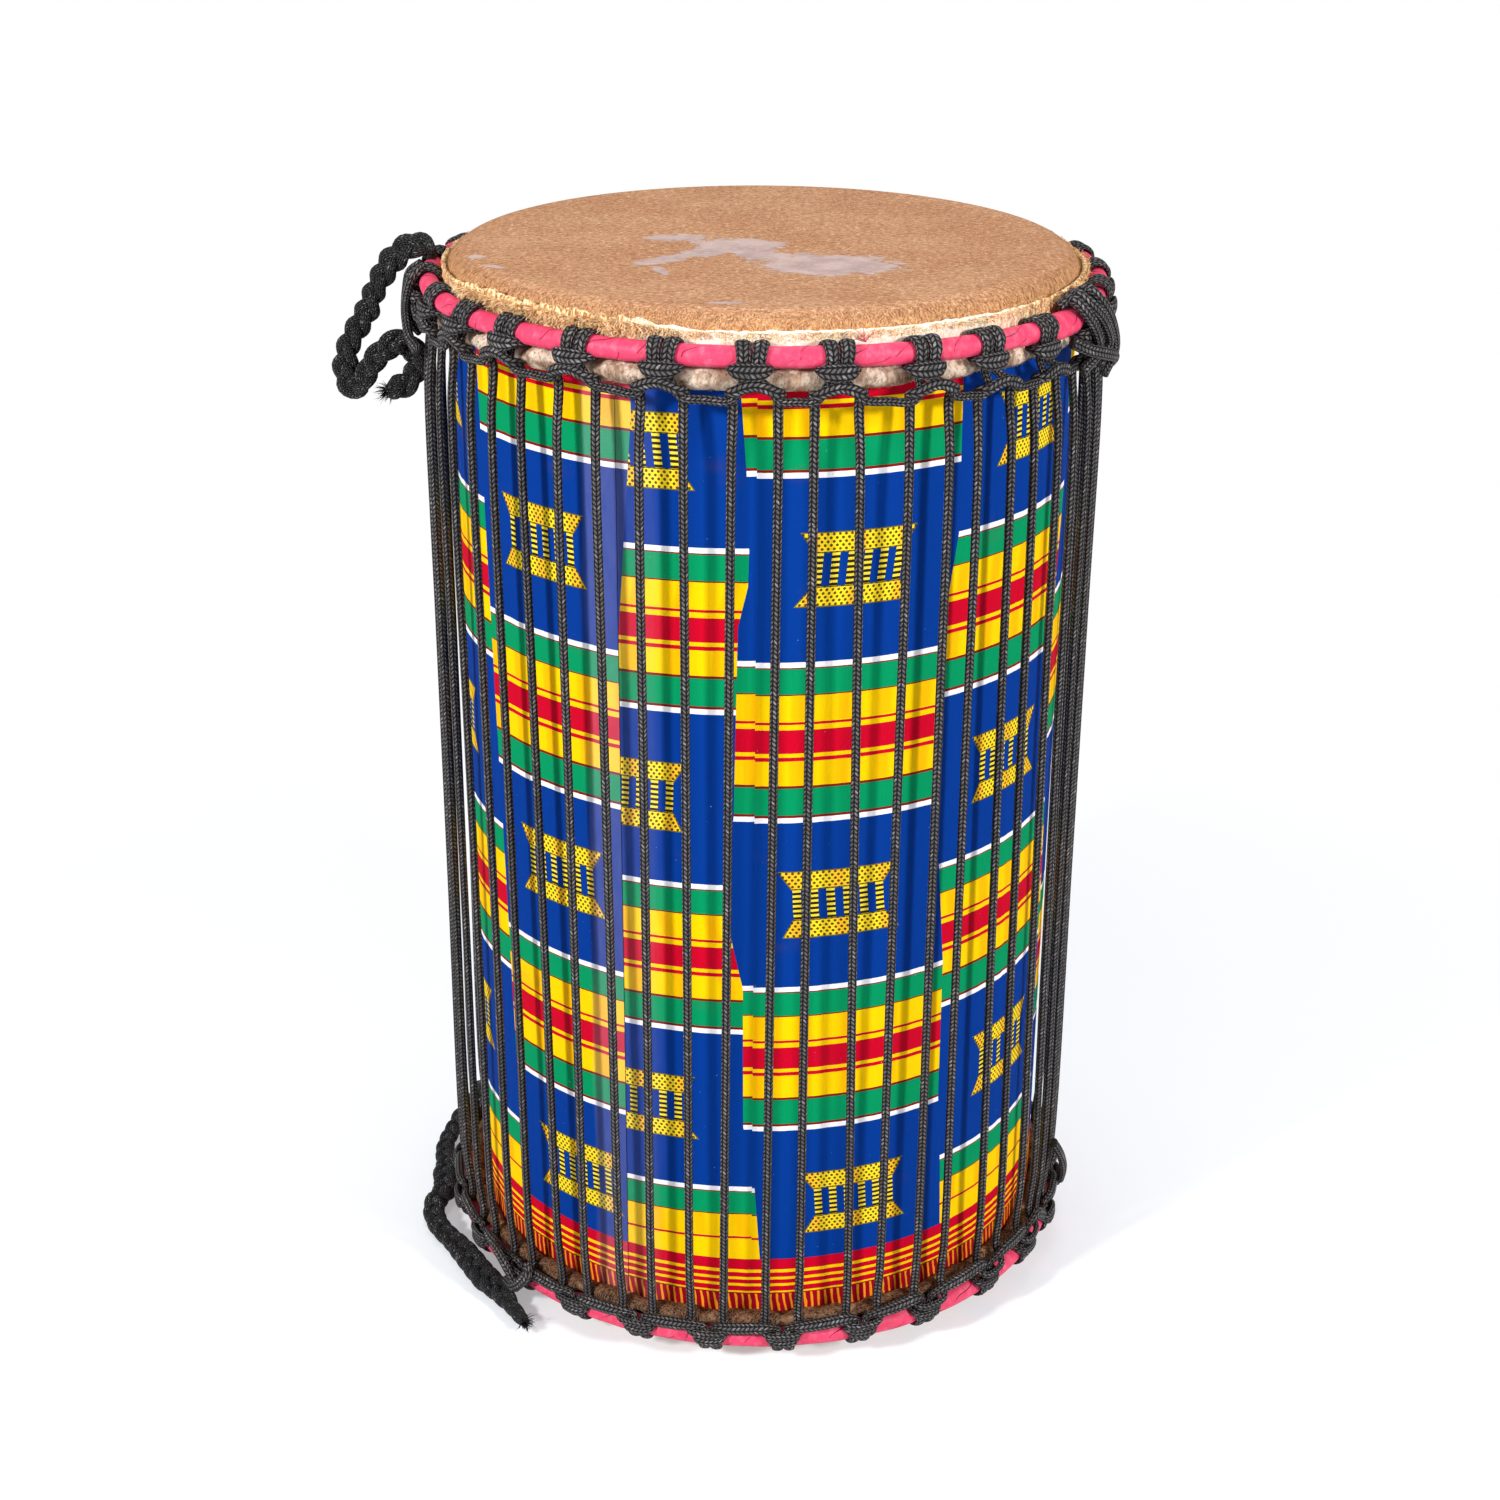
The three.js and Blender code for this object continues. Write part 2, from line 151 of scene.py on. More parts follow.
class Graph:
    """Builds one material, or the world, out of shader nodes."""

    def __init__(self, name: str, owner: bpy.types.ID | None = None) -> None:
        """Empties the owner's node tree, and makes a material where no owner is given."""
        self.owner = owner or bpy.data.materials.new(name)
        self.owner.use_nodes = True
        self.tree = self.owner.node_tree
        self.tree.nodes.clear()

    def node(self, kind: str, feeds: dict[int | str, object] | None = None,
             **settings: object) -> bpy.types.Node:
        """Adds a node.

        Args:
            kind: Its type, without the ShaderNode that all of them start with.
            feeds: What each of its inputs gets: a field, a socket, a colour or a number.
            settings: Properties to set on it.

        Returns:
            The node.
        """
        node = self.tree.nodes.new("ShaderNode" + kind)
        for key, value in settings.items():
            setattr(node, key, value)
        for key, value in (feeds or {}).items():
            value = value.socket if isinstance(value, Field) else value
            if isinstance(value, Socket):
                self.tree.links.new(value, node.inputs[key])
            else:
                uniform = (*value, 1.0) if isinstance(value, tuple) else value
                node.inputs[key].default_value = uniform
        return node

    def math(self, operation: str, *values: object) -> Field:
        """Adds a math node, and gives its result."""
        node = self.node("Math", dict(enumerate(values)), operation=operation)
        return Field(self, node.outputs[0])

    def mix(self, share: object, first: object, second: object) -> Socket:
        """Mixes two colours, with the given share of the second."""
        return self.node("Mix", {0: share, 6: first, 7: second}, data_type="RGBA").outputs[2]

    def layers(self, colour: object, *coats: tuple[object, object]) -> Socket:
        """Lays coats over a colour.

        Args:
            colour: The ground.
            coats: The share and the colour of each coat, the lowest first.

        Returns:
            The colour on top.
        """
        for share, coat in coats:
            colour = self.mix(share, colour, coat)
        return colour

    def place(self) -> Socket:
        """The point being shaded, in the drum's own frame."""
        return self.node("TexCoord").outputs["Object"]

    def split(self, vector: Socket) -> tuple[Field, Field, Field]:
        """The three numbers of a vector."""
        x, y, z = self.node("SeparateXYZ", {0: vector}).outputs
        return Field(self, x), Field(self, y), Field(self, z)

    def layout(self) -> tuple[Field, Field]:
        """The two coordinates of the surface's own layout."""
        return self.split(self.node("UVMap", uv_map="lay").outputs[0])[:2]

    def vector(self, x: object, y: object, z: object = 0.0) -> Socket:
        """Joins three numbers into a vector."""
        return self.node("CombineXYZ", {0: x, 1: y, 2: z}).outputs[0]

    def noise(self, where: object, scale: float, detail: float = 2.0, rough: float = 0.5) -> Field:
        """Smooth noise from zero to one.

        Args:
            where: The vector that it is looked up at, or the numbers to join into one.
            scale: Features for each unit of the vector.
            detail: Octaves.
            rough: How strong the finer octaves are.

        Returns:
            The noise.
        """
        where = self.vector(*where) if isinstance(where, tuple) else where
        feeds = {"Vector": where, "Scale": scale, "Detail": detail, "Roughness": rough}
        return Field(self, self.node("TexNoise", feeds).outputs[0])

    def steps(self, value: Field, span: float, stops: Sequence[tuple[float, Colour]],
              kind: str = "CONSTANT") -> Socket:
        """Looks up a colour that changes in steps, or evenly.

        Args:
            value: The number to look up.
            span: The value that the end of the ramp stands for.
            stops: Where each colour starts, and the colour.
            kind: How the ramp goes from one colour to the next.

        Returns:
            The colour.
        """
        node = self.node("ValToRGB", {0: value / span})
        ramp = node.color_ramp
        ramp.interpolation = kind
        ramp.elements.remove(ramp.elements[-1])
        for index, (start, colour) in enumerate(stops):
            element = ramp.elements.new(start / span) if index else ramp.elements[0]
            element.position = start / span
            element.color = (*colour, 1.0)
        return node.outputs[0]

    def table(self, value: Field, span: float, stops: Sequence[Pair]) -> Field:
        """Looks up a number that changes evenly between stops.

        Args:
            value: The number to look up.
            span: The value that the end of the table stands for.
            stops: Places in the table, and the number at each.

        Returns:
            The number.
        """
        low = min(number for _, number in stops)
        spread = max(number for _, number in stops) - low
        greys = [(start, ((number - low) / spread,) * 3) for start, number in stops]
        return Field(self, self.steps(value, span, greys, "LINEAR")) * spread + low

    def finish(self, colour: object, roughness: object, height: Field | None = None,
               depth: float = 0.001, **settings: float) -> Material:
        """Ends the graph in a surface.

        Args:
            colour: Its colour.
            roughness: Its roughness.
            height: Relief, from zero to one.
            depth: How deep the relief is, in metres.
            settings: Other inputs of the surface, with _ for a space.

        Returns:
            The finished material.
        """
        feeds = {key.replace("_", " "): value for key, value in settings.items()}
        feeds |= {"Base Color": colour, "Roughness": roughness}
        if height is not None:
            feeds["Normal"] = self.node("Bump", {"Distance": depth, "Height": height}).outputs[0]
        self.node("OutputMaterial", {0: self.node("BsdfPrincipled", feeds).outputs[0]})
        return self.owner


@dataclass(frozen=True)
class SteelFinish:
    """Mild steel rod with mill scale, hidden in its tape or in the hide."""

    name: str = "ring_steel"
    base: Colour = srgb(92, 92, 96)
    rust: Colour = srgb(120, 96, 78)

    def build(self) -> Material:
        """Clouds the steel with rust, which is rougher."""
        graph = Graph(self.name)
        cloud = graph.noise(graph.place(), 60.0, 4.0)
        colour = graph.mix(cloud.ramp(0.4, 0.7), self.base, self.rust)
        return graph.finish(colour, 0.45 + cloud * 0.2, cloud, 0.0002, Metallic=1.0)


@dataclass(frozen=True)
class WoodFinish:
    """The bare hollowed shell, whose grain runs up the drum."""

    name: str = "body_wood"
    base: Colour = srgb(150, 106, 66)
    light: Colour = srgb(190, 148, 100)
    dark: Colour = srgb(120, 82, 52)

    def build(self) -> Material:
        """Stretches fine and broad noise along the height."""
        graph = Graph(self.name)
        x, y, z = graph.split(graph.place())
        stretched = graph.vector(x, y, z * 0.06)
        grain = graph.noise(stretched, 160.0, 5.0, 0.6)
        broad = graph.noise(stretched, 22.0)
        colour = graph.layers(self.base, (grain.ramp(0.35, 0.7), self.light),
                              (broad.ramp(0.45, 0.75) * 0.5, self.dark))
        return graph.finish(colour, 0.62, grain, 0.0004)


@dataclass(frozen=True)
class RopeFinish:
    """Plaited black polypropylene cord, with painted highlights on its stitches and painted shade
    between them.
    """

    name: str
    columns: float = 8.0
    stitch_mm: float = 2.5
    base: Colour = srgb(32, 30, 31)
    # light: painted highlight on the stitch tops; fleck: brighter painted glint; last colour:
    # painted shade in the grooves.
    light: Colour = srgb(144, 137, 137)
    fleck: Colour = srgb(186, 180, 180)
    groove_shade: Colour = srgb(6, 6, 7)

    def build(self) -> Material:
        """Slants the stitches one way in even columns and the other way in odd ones.

        Each stitch is a dome, the product of two parabolas, across its column and along it.
        Painted shade darkens the grooves between the domes, a painted highlight lies on their tops,
        and some stitches get a brighter painted glint.

        Returns:
            The material.
        """
        graph = Graph(self.name)
        around, along = graph.layout()
        columns = around * self.columns
        column = columns.floor()
        across = columns - column
        lean = column % 2.0 * 2.0 - 1.0
        course = along / self.stitch_mm + (across - 0.5) * lean * 0.8
        row = course.floor()
        dome_across = 1.0 - (across * 2.0 - 1.0) ** 2.0
        dome_along = 1.0 - ((course - row) * 2.0 - 1.0) ** 2.0
        height = dome_across ** 0.55 * dome_along ** 0.6
        stitch = {"Vector": graph.vector(column % self.columns, row)}
        white = graph.node("TexWhiteNoise", stitch, noise_dimensions="2D")
        chance = Field(graph, white.outputs["Value"])
        fibres = graph.noise((around * 44.0, along * 1.3), 1.0, 4.0, 0.7)
        patchy = graph.noise((around * 3.0, along * 0.11), 1.0)
        # Painted highlight on the stitch tops, broken up by fibres and patches.
        stitch_highlight = height.ramp(0.5, 0.95) * fibres.ramp(0.3, 0.75) * (0.35 + patchy * 0.9)
        # Painted shade in the grooves, the painted highlight over it, and painted glints on some
        # stitches.
        colour = graph.layers(self.groove_shade, (height.ramp(0.2, 0.75), self.base), (stitch_highlight, self.light),
                              (chance.ramp(0.7, 1.0) * stitch_highlight * 0.9, self.fleck))
        return graph.finish(colour, 0.66 - height * 0.16, height, 0.0009, Specular_IOR_Level=0.22)


@dataclass(frozen=True)
class TapeFinish:
    """Cloth-backed tape wound along a ring in overlapping turns."""

    name: str = "pink_tape"
    turn_mm: float = 27.0
    base: Colour = srgb(228, 62, 100)
    # Painted shadow under the laps, then the painted highlight on the crumples' ridges, then the
    # painted shade in their hollows.
    shade: Colour = srgb(136, 6, 42)
    crumple_highlight: Colour = srgb(240, 128, 150)
    deep: Colour = srgb(214, 22, 84)

    def build(self) -> Material:
        """Steps down along a helix, with a painted shadow line under some laps, and fine crumples
        with a painted highlight on their ridges and painted shade in their hollows.

        Returns:
            The material.
        """
        graph = Graph(self.name)
        around, along = graph.layout()
        wander = graph.noise((along * 0.02, around), 1.0)
        turn = along / self.turn_mm + around * 1.6 + wander * 2.4
        share = turn - turn.floor()
        lap = share.ramp(0.0, 0.05)
        broken = graph.noise((along * 0.05, around * 3.0), 1.0)
        crumple = graph.noise((along * 0.22, around * 4.0), 1.0, 4.0, 0.6)
        # Painted highlight on the crumples' ridges, painted shadow under the laps, painted shade in
        # the crumples' hollows.
        colour = graph.layers(self.base, (crumple.ramp(0.45, 0.75) * 0.45, self.crumple_highlight),
                              ((1.0 - lap) * broken.ramp(0.36, 0.5) * 0.8, self.shade),
                              (crumple.ramp(0.42, 0.25) * 0.3, self.deep))
        height = lap * (1.0 - share * 0.6) * 0.7 + crumple * 0.7
        return graph.finish(colour, 0.5, height, 0.0011, Specular_IOR_Level=0.3)


class HidePart(Enum):
    """Which part of a head a hide finish is for."""

    FACE = "face"
    EDGE = "edge"
    ROLL = "roll"
    FUR = "fur"


@dataclass(frozen=True)
class HideFinish:
    """Cowhide with its short hair left on, and bare patches on the playing face.

    A bare patch is its middle across and up the face, two half sizes and a turn in degrees.
    """

    part: HidePart
    base: Colour = srgb(192, 138, 98)
    dark: Colour = srgb(134, 84, 58)
    light: Colour = srgb(226, 180, 138)
    bleached: Colour = srgb(242, 208, 174)
    golden: tuple[Colour, Colour] = (srgb(184, 120, 68), srgb(238, 192, 134))
    bare: tuple[Colour, Colour, Colour] = (
        srgb(196, 174, 168), srgb(172, 150, 148), srgb(222, 204, 196))
    rubbed: Colour = srgb(224, 190, 164)
    flap: tuple[Colour, Colour, Colour] = (
        srgb(178, 114, 62), srgb(255, 230, 176), srgb(152, 92, 52))
    cream: tuple[Colour, Colour] = (srgb(236, 216, 172), srgb(255, 250, 234))
    skin: tuple[Colour, Colour, Colour] = (
        srgb(160, 126, 102), srgb(240, 218, 196), srgb(240, 224, 202))
    fur: tuple[Colour, Colour] = (srgb(74, 48, 36), srgb(166, 126, 96))
    deep_fur: tuple[Colour, Colour, Colour] = (
        srgb(46, 28, 20), srgb(140, 98, 68), srgb(196, 152, 112))
    patches: tuple[tuple[float, ...], ...] = (
        (34, -61, 40, 29, 0), (2, -42, 18, 11, -10), (-13, -17, 27, 21, -8), (-47, 3, 21, 9, 8),
        (-50, -52, 26, 8, 44), (-30, -34, 16, 12, 30), (-51, -80, 4, 11, 20),
        (-148, -50, 4, 6, 60), (-137, -74, 8, 3, -35), (-14, -150, 11, 2.5, 0))

    def build(self) -> Material:
        """Lays streaks of hair that run down the sides and lie every way on the face.

        Returns:
            The material.
        """
        graph = Graph(f"hide_{self.part.value}")
        place = graph.place()
        x, y, z = graph.split(place)
        swirl = graph.noise(place, 9.0) - 0.5
        lie = graph.vector(x * 0.5 + swirl * 0.05, y + swirl * 0.05, z * 0.12)
        hair = graph.noise(lie, 1500.0, 2.0, 0.6)
        tuft = graph.noise(lie, 330.0, 3.0, 0.6)
        height = hair * 0.8 + tuft * 0.6
        if self.part is HidePart.FACE:
            colour, bald = self.face(graph, place, hair, tuft)
            height = height * (1.0 - bald * 0.8)
        elif self.part is HidePart.EDGE:
            front = x.ramp(-0.075, -0.035) * x.ramp(0.15, 0.09) * y.less(0.0)
            fibres = graph.noise((x, y, z * 0.12), 700.0, 3.0, 0.6)
            mottle = graph.noise(place, 90.0, 3.0)
            furry = graph.layers(self.flap[0], (fibres.ramp(0.42, 0.58), self.flap[1]),
                                 (mottle.ramp(0.54, 0.68) * 0.45, self.flap[2]))
            colour = graph.mix(front, furry, graph.mix(fibres.ramp(0.3, 0.55), *self.cream))
        elif self.part is HidePart.ROLL:
            mottle = graph.noise(place, 75.0, 4.0, 0.6)
            fold = graph.noise((x, y, z * 2.0), 45.0)
            colour = graph.layers(
                self.skin[0], (tuft.ramp(0.35, 0.65), self.skin[1]),
                (mottle.ramp(0.45, 0.6) * 0.85, graph.mix(hair.ramp(0.35, 0.65), *self.fur)),
                (fold.ramp(0.54, 0.64) * 0.7, self.skin[2]))
            height = height * 0.7 + mottle * 0.8
        else:
            mottle = graph.noise(place, 110.0, 4.0, 0.6)
            colour = graph.layers(self.deep_fur[0], (hair.ramp(0.35, 0.7), self.deep_fur[1]),
                                  (mottle.ramp(0.56, 0.7) * 0.7, self.deep_fur[2]))
        return graph.finish(colour, 0.78, height, 0.0008, Specular_IOR_Level=0.15)

    def face(self, graph: Graph, place: Socket, hair: Field, tuft: Field) -> tuple[Socket, Field]:
        """Colours the hair, lightens the rim and lays the bare patches on the playing face.

        Args:
            graph: The graph to add to.
            place: The point being shaded.
            hair: The noise of single hairs.
            tuft: The noise of tufts.

        Returns:
            The colour, and how bare each place is.
        """
        x, y, z = graph.split(place)
        cloud = graph.noise(place, 24.0, 3.0)
        fleck = graph.noise((x * 0.65, y, z * 0.2), 560.0, 5.0, 0.8)
        streaks = graph.noise((x * 0.45, y, 0.0), 420.0, 3.0, 0.7)
        wobble = (graph.noise(place, 75.0, 3.0) - 0.5) * 1.1 + (streaks - 0.5) * 0.9
        across, up = x / MM, y / MM
        depth = self.patch(across, up, wobble, self.patches[0])
        for blob in self.patches[1:]:
            depth = depth.most(self.patch(across, up, wobble, blob))
        playing = z.more(0.595)
        bald = depth.ramp(0.0, 0.26) * playing
        worn = graph.noise(place, 55.0, 4.0).ramp(0.35, 0.65)
        rub = graph.noise((x * 0.3, y, 0.0), 260.0, 3.0, 0.7).ramp(0.66, 0.76) * 0.45
        skin = graph.layers(self.bare[0], (worn, self.bare[1]),
                            (streaks.ramp(0.5, 0.7) * 0.5, self.bare[2]))
        colour = graph.layers(
            self.base, (cloud.ramp(0.35, 0.7) * 0.35, self.light),
            (tuft.ramp(0.52, 0.3) * 0.45, self.dark), (hair.ramp(0.5, 0.3) * 0.8, self.dark),
            (hair.ramp(0.55, 0.72) * 0.75, self.light), (fleck.ramp(0.5, 0.36) * 0.75, self.dark),
            (fleck.ramp(0.53, 0.67) * 0.85, self.bleached),
            (z.ramp(0.5992, 0.590) * 0.7, graph.mix(hair.ramp(0.35, 0.65), *self.golden)),
            (rub * playing, self.rubbed), (bald * 0.9, skin))
        return colour, bald

    def patch(self, x: Field, y: Field, wobble: Field, blob: Sequence[float]) -> Field:
        """How deep inside a bare patch a point is, from zero at its wandering edge.

        Args:
            x: Place across the face, in millimetres.
            y: Place up the face, in millimetres.
            wobble: What moves the edge, about zero.
            blob: The patch.

        Returns:
            The depth, as a share of the patch's size.
        """
        middle_x, middle_y, half_x, half_y, degrees = blob
        cosine, sine = math.cos(math.radians(degrees)), math.sin(math.radians(degrees))
        u = ((x - middle_x) * cosine + (y - middle_y) * sine) / half_x
        v = ((y - middle_y) * cosine - (x - middle_x) * sine) / half_y
        return 1.0 - (u * u + v * v) ** 0.5 + wobble


@dataclass(frozen=True)
class HairFinish:
    """Loose hairs that stand off the hide."""

    name: str
    root: Colour
    tip: Colour
    brown: Colour = srgb(146, 94, 54)

    def build(self) -> Material:
        """Grades each hair from its root to its tip, and varies them by place."""
        graph = Graph(self.name)
        vary = graph.noise(graph.place(), 300.0, 1.0)
        colour = graph.layers(self.root, (graph.layout()[1].ramp(0.1, 1.0), self.tip),
                              (vary.ramp(0.5, 0.64) * 0.6, self.brown))
        return graph.finish(colour, 0.6)


@dataclass(frozen=True)
class ClothFinish:
    """Printed cotton in a traditional strip-weave pattern, glued flat to the shell.

    The print has columns of striped blocks and barred motifs. Odd columns start higher than even
    ones, and left and right say where the front column's edges lie, by height above 60 mm.
    """

    name: str = "printed_cloth"
    column_mm: float = 112.5
    repeat_mm: float = 185.5
    even_top_mm: float = 607.0
    odd_top_mm: float = 666.5
    motif_mm: float = 136.7
    wave_mm: float = 24.0
    weave_mm: float = 0.9
    blue: Colour = srgb(0, 54, 140)
    green: Colour = srgb(0, 143, 90)
    yellow: Colour = srgb(255, 204, 0)
    orange: Colour = srgb(250, 172, 0)
    gold: Colour = srgb(255, 218, 40)
    old_gold: Colour = srgb(242, 176, 40)
    thread: Colour = srgb(240, 214, 60)
    red: Colour = srgb(198, 2, 38)
    wine: Colour = srgb(158, 8, 30)
    fringe: Colour = srgb(252, 152, 26)
    dark: Colour = srgb(128, 24, 20)
    ink: Colour = srgb(44, 34, 12)
    white: Colour = srgb(246, 243, 248)
    glue: Colour = srgb(176, 170, 200)
    stain: Colour = srgb(90, 60, 50)
    left: tuple[Pair, ...] = (
        (0, 5), (50, 1.5), (90, -5), (175, -5.5), (200, -11), (220, -14.5), (240, -15),
        (275, -10.8), (380, -9), (402, -4), (420, -3.5), (460, -5), (515, -9))
    right: tuple[Pair, ...] = (
        (0, 116), (45, 114), (90, 110.5), (175, 110), (240, 104), (280, 98.5), (365, 100),
        (402, 106), (420, 109), (460, 108.5), (515, 107.5))

    def build(self) -> Material:
        """Prints the columns, their blocks, the barred motif and the border from place in mm.

        Returns:
            The material.
        """
        graph = Graph(self.name)
        across, up = graph.layout()
        beyond_seam = across.less((up - 430.0).most(0.0) * 0.075 - 72.0)
        across = across + beyond_seam * CLOTH_ROUND_MM
        left = graph.table(up - 60.0, 520.0, self.left)
        right = graph.table(up - 60.0, 520.0, self.right)
        front = ((across.least(right) - left) * self.column_mm / (right - left)
                 + (across - right).most(0.0))
        behind = across + 16.9 - (575.0 - up) / 545.0 * 24.0
        turned = across.ramp(450.0, 700.0)
        place = front + (behind - front) * turned
        column = (place / self.column_mm).floor()
        x = place - column * self.column_mm - self.column_mm / 2.0 + turned * 5.5
        skew = (across + 36.0) * across.less(0.0) * 0.03
        top = column % 2.0 * (self.odd_top_mm - self.even_top_mm) + self.even_top_mm
        v = (top - up + skew) % self.repeat_mm
        y, r, d = self.yellow, self.red, self.dark
        colour = graph.steps(v, self.repeat_mm, (
            (0.0, self.white), (2.7, d), (3.5, self.green), (17.0, d), (18.0, y), (32.0, r),
            (34.0, y), (36.3, r), (49.3, y), (51.9, r), (54.2, y), (67.9, d),
            (69.2, self.green), (84.2, d), (85.8, self.white), (88.5, self.blue)))
        bands = v.more(18.0) * v.less(32.0) + v.more(54.2) * v.less(67.9)
        colour = graph.mix(bands * self.wave(x).ramp(0.2, 1.0) * 0.7, colour, self.orange)
        colour = self.motif(graph, x, v - self.motif_mm, colour)
        colour = graph.mix(up.less(84.0) * v.more(34.0) * v.less(56.0), colour, y)
        colour = self.border(graph, across, up, colour)
        ragged = across + graph.noise((across, up * 0.06), 0.12, 3.0) * 12.0 - 6.0
        haze = ragged.ramp(966.0, 971.0) * 0.13 + ragged.ramp(-46.0, -56.0) * 0.06
        mottle = graph.noise((across, up * 0.3), 0.2, 3.0)
        dust = graph.noise((across, up), 0.55)
        stain = graph.noise((across * 0.6, up), 0.03, 3.0)
        colour = graph.layers(colour, (haze * (mottle * 0.8 + 0.6), self.glue),
                              (dust.ramp(0.76, 0.82) * 0.6, self.white),
                              (stain.ramp(0.62, 0.8) * 0.18, self.stain))
        threads = math.tau / self.weave_mm
        weave = ((across * threads).cosine() + (up * threads).cosine()) * 0.25 + 0.5
        crease = graph.noise((across, up * 0.12), 0.12)
        return graph.finish(colour, 0.7, crease * 0.9 + weave * 0.1, 0.0008,
                            Specular_IOR_Level=0.05)

    def wave(self, x: Field) -> Field:
        """The print's shading, a cosine across each column."""
        return (x * (math.tau / self.wave_mm)).cosine()

    def motif(self, graph: Graph, x: Field, v: Field, under: Socket) -> Socket:
        """Draws the two dotted bars and the six dashed posts between them.

        Args:
            graph: The graph to add to.
            x: Place across, from the motif's middle, in mm.
            v: Place down, from the motif's middle, in mm.
            under: The colour of the ground.

        Returns:
            The colour with the motif on it.
        """
        post, bar_end, half_width, dot_row, dot_step = 8.75, 19.6, 24.0, 1.93, 3.1
        reach, away = abs(x), abs(v)
        half = half_width + (away - post) * 0.62
        bar = away.more(post) * away.less(bar_end) * reach.less(half)
        edge = bar * (1.0 - away.more(9.4) * away.less(19.0) * reach.less(half - 0.8))
        row = (v / dot_row).floor()
        dot_x = (x + row % 2.0 * (dot_step / 2)) % dot_step - dot_step / 2
        dot_y = v - row * dot_row - dot_row / 2
        dot = (dot_x * dot_x + dot_y * dot_y).less(0.58)
        fill = graph.layers(self.gold, (self.wave(x).ramp(0.3, 1.0) * 0.8, self.old_gold),
                            (dot * 0.92, self.ink))
        zone = away.less(post) * reach.less(half_width)
        post_x = abs((x + 25.5) % 8.5 - 4.25)
        dash = ((v + 8.61) % 2.87).less(1.4)
        return graph.layers(under, (bar, fill), (edge * 0.8, self.ink),
                            (zone * post_x.less(2.1), graph.mix(dash, self.ink, self.thread)))

    def border(self, graph: Graph, across: Field, up: Field, under: Socket) -> Socket:
        """Draws the stripes and the printed fringe along the lower selvedge.

        Args:
            graph: The graph to add to.
            across: Place round the shell, in mm.
            up: Height, in mm.
            under: The colour above the border.

        Returns:
            The colour with the border on it.
        """
        top, fringe_top, fringe_end, tuft = 63.3, 40.0, 28.4, 3.9
        y, r = self.yellow, self.red
        stripes = graph.steps((top - up).most(0.0), 40.0, (
            (0.0, r), (7.0, y), (9.0, r), (12.0, y), (13.7, r), (16.4, y), (18.1, r),
            (21.4, y), (22.4, self.wine)))
        lean = (across + up * 0.12 + graph.noise((across, up), 0.06, 1.0) * 2.0) % tuft
        uneven = graph.noise((across, up * 0.3), 0.45, 1.0) * 1.5
        fringe = lean.less(uneven + 0.55) * up.less(fringe_top) * up.more(fringe_end)
        return graph.mix(up.less(top), under, graph.mix(fringe, stripes, self.fringe))


def unit(vectors: Array) -> Array:
    """Each row's vector, cut to a length of one."""
    return vectors / np.maximum(np.linalg.norm(vectors, axis=1, keepdims=True), 1e-6)


def lengths(points: Array) -> Array:
    """How far each point of a line lies from its first, going from point to point."""
    return np.concatenate([[0.0], np.cumsum(np.linalg.norm(np.diff(points, axis=0), axis=1))])


def axes(angle: Array) -> tuple[Array, Array]:
    """Outward and sideways directions, for a column of angles round the drum."""
    nought = np.zeros_like(angle)
    return (np.concatenate([np.cos(angle), np.sin(angle), nought], axis=1),
            np.concatenate([-np.sin(angle), np.cos(angle), nought], axis=1))


def circle(radius: float, height: float, size: float, count: int) -> Array:
    """Radius and height of points round a circle, from straight outwards and turning down.

    Args:
        radius: The radius at which its middle lies.
        height: The height of its middle.
        size: Its own radius.
        count: How many points it has.

    Returns:
        Radius and height of each point.
    """
    angle = np.radians(np.linspace(360, 0, count + 1)[:-1])
    return np.stack([radius + size * np.cos(angle), height + size * np.sin(angle)], axis=1)


def bumps(angle: Array, waves: int, seed: int, lowest: int = 3) -> Array:
    """A wavy value round the drum: a sum of sines of whole numbers of waves, about -1 to 1.

    Args:
        angle: Where it is wanted, in radians.
        waves: How many sines are added.
        seed: Picks their sizes and places.
        lowest: The fewest waves in a turn.

    Returns:
        The value at each angle.
    """
    rng = np.random.default_rng(seed)
    counts = rng.integers(lowest, lowest + waves * 6, (waves, 1))
    sizes = rng.uniform(0.4, 1.0, (waves, 1))
    phases = rng.uniform(0.0, math.tau, (waves, 1))
    total = np.sum(sizes * np.sin(counts * angle.ravel() + phases), axis=0)
    return (total / sizes.sum() * 1.6).reshape(angle.shape)


@dataclass
class Grid:
    """A grid of points that becomes faces, each square of the grid one face.

    The layout holds two values for each point, with one more row or column where the grid closes
    on itself: along joins the last row to the first, and around the last column. Caps close the
    first and last rows with a face each.
    """

    points: Array
    layout: Array
    along: bool = False
    around: bool = False
    caps: bool = False

    def reversed(self) -> Grid:
        """The same grid with its columns in reverse, so that its faces look the other way."""
        return Grid(self.points[:, ::-1], self.layout[:, ::-1], self.along, self.around, self.caps)

    def faces(self, start: int) -> tuple[list[list[int]], Array]:
        """The grid's faces.

        Args:
            start: The number of its first point in the whole mesh.

        Returns:
            The corners of each face, and the layout values of all corners in order.
        """
        rows, columns = self.points.shape[:2]
        i, j = np.meshgrid(np.arange(rows if self.along else rows - 1),
                           np.arange(columns if self.around else columns - 1), indexing="ij")
        i, j = i.ravel(), j.ravel()
        corners = [(i, j), (i, j + 1), (i + 1, j + 1), (i + 1, j)]
        squares = np.stack([(a % rows) * columns + b % columns for a, b in corners], axis=1)
        faces = (squares + start).tolist()
        values = np.stack([self.layout[a, b] for a, b in corners], axis=1).reshape(-1, 2)
        if self.caps:
            front = np.arange(columns)
            back = front[::-1]
            faces += [(back + start).tolist(), (front + start + (rows - 1) * columns).tolist()]
            values = np.concatenate([values, self.layout[0, back], self.layout[-1, front]])
        return faces, values


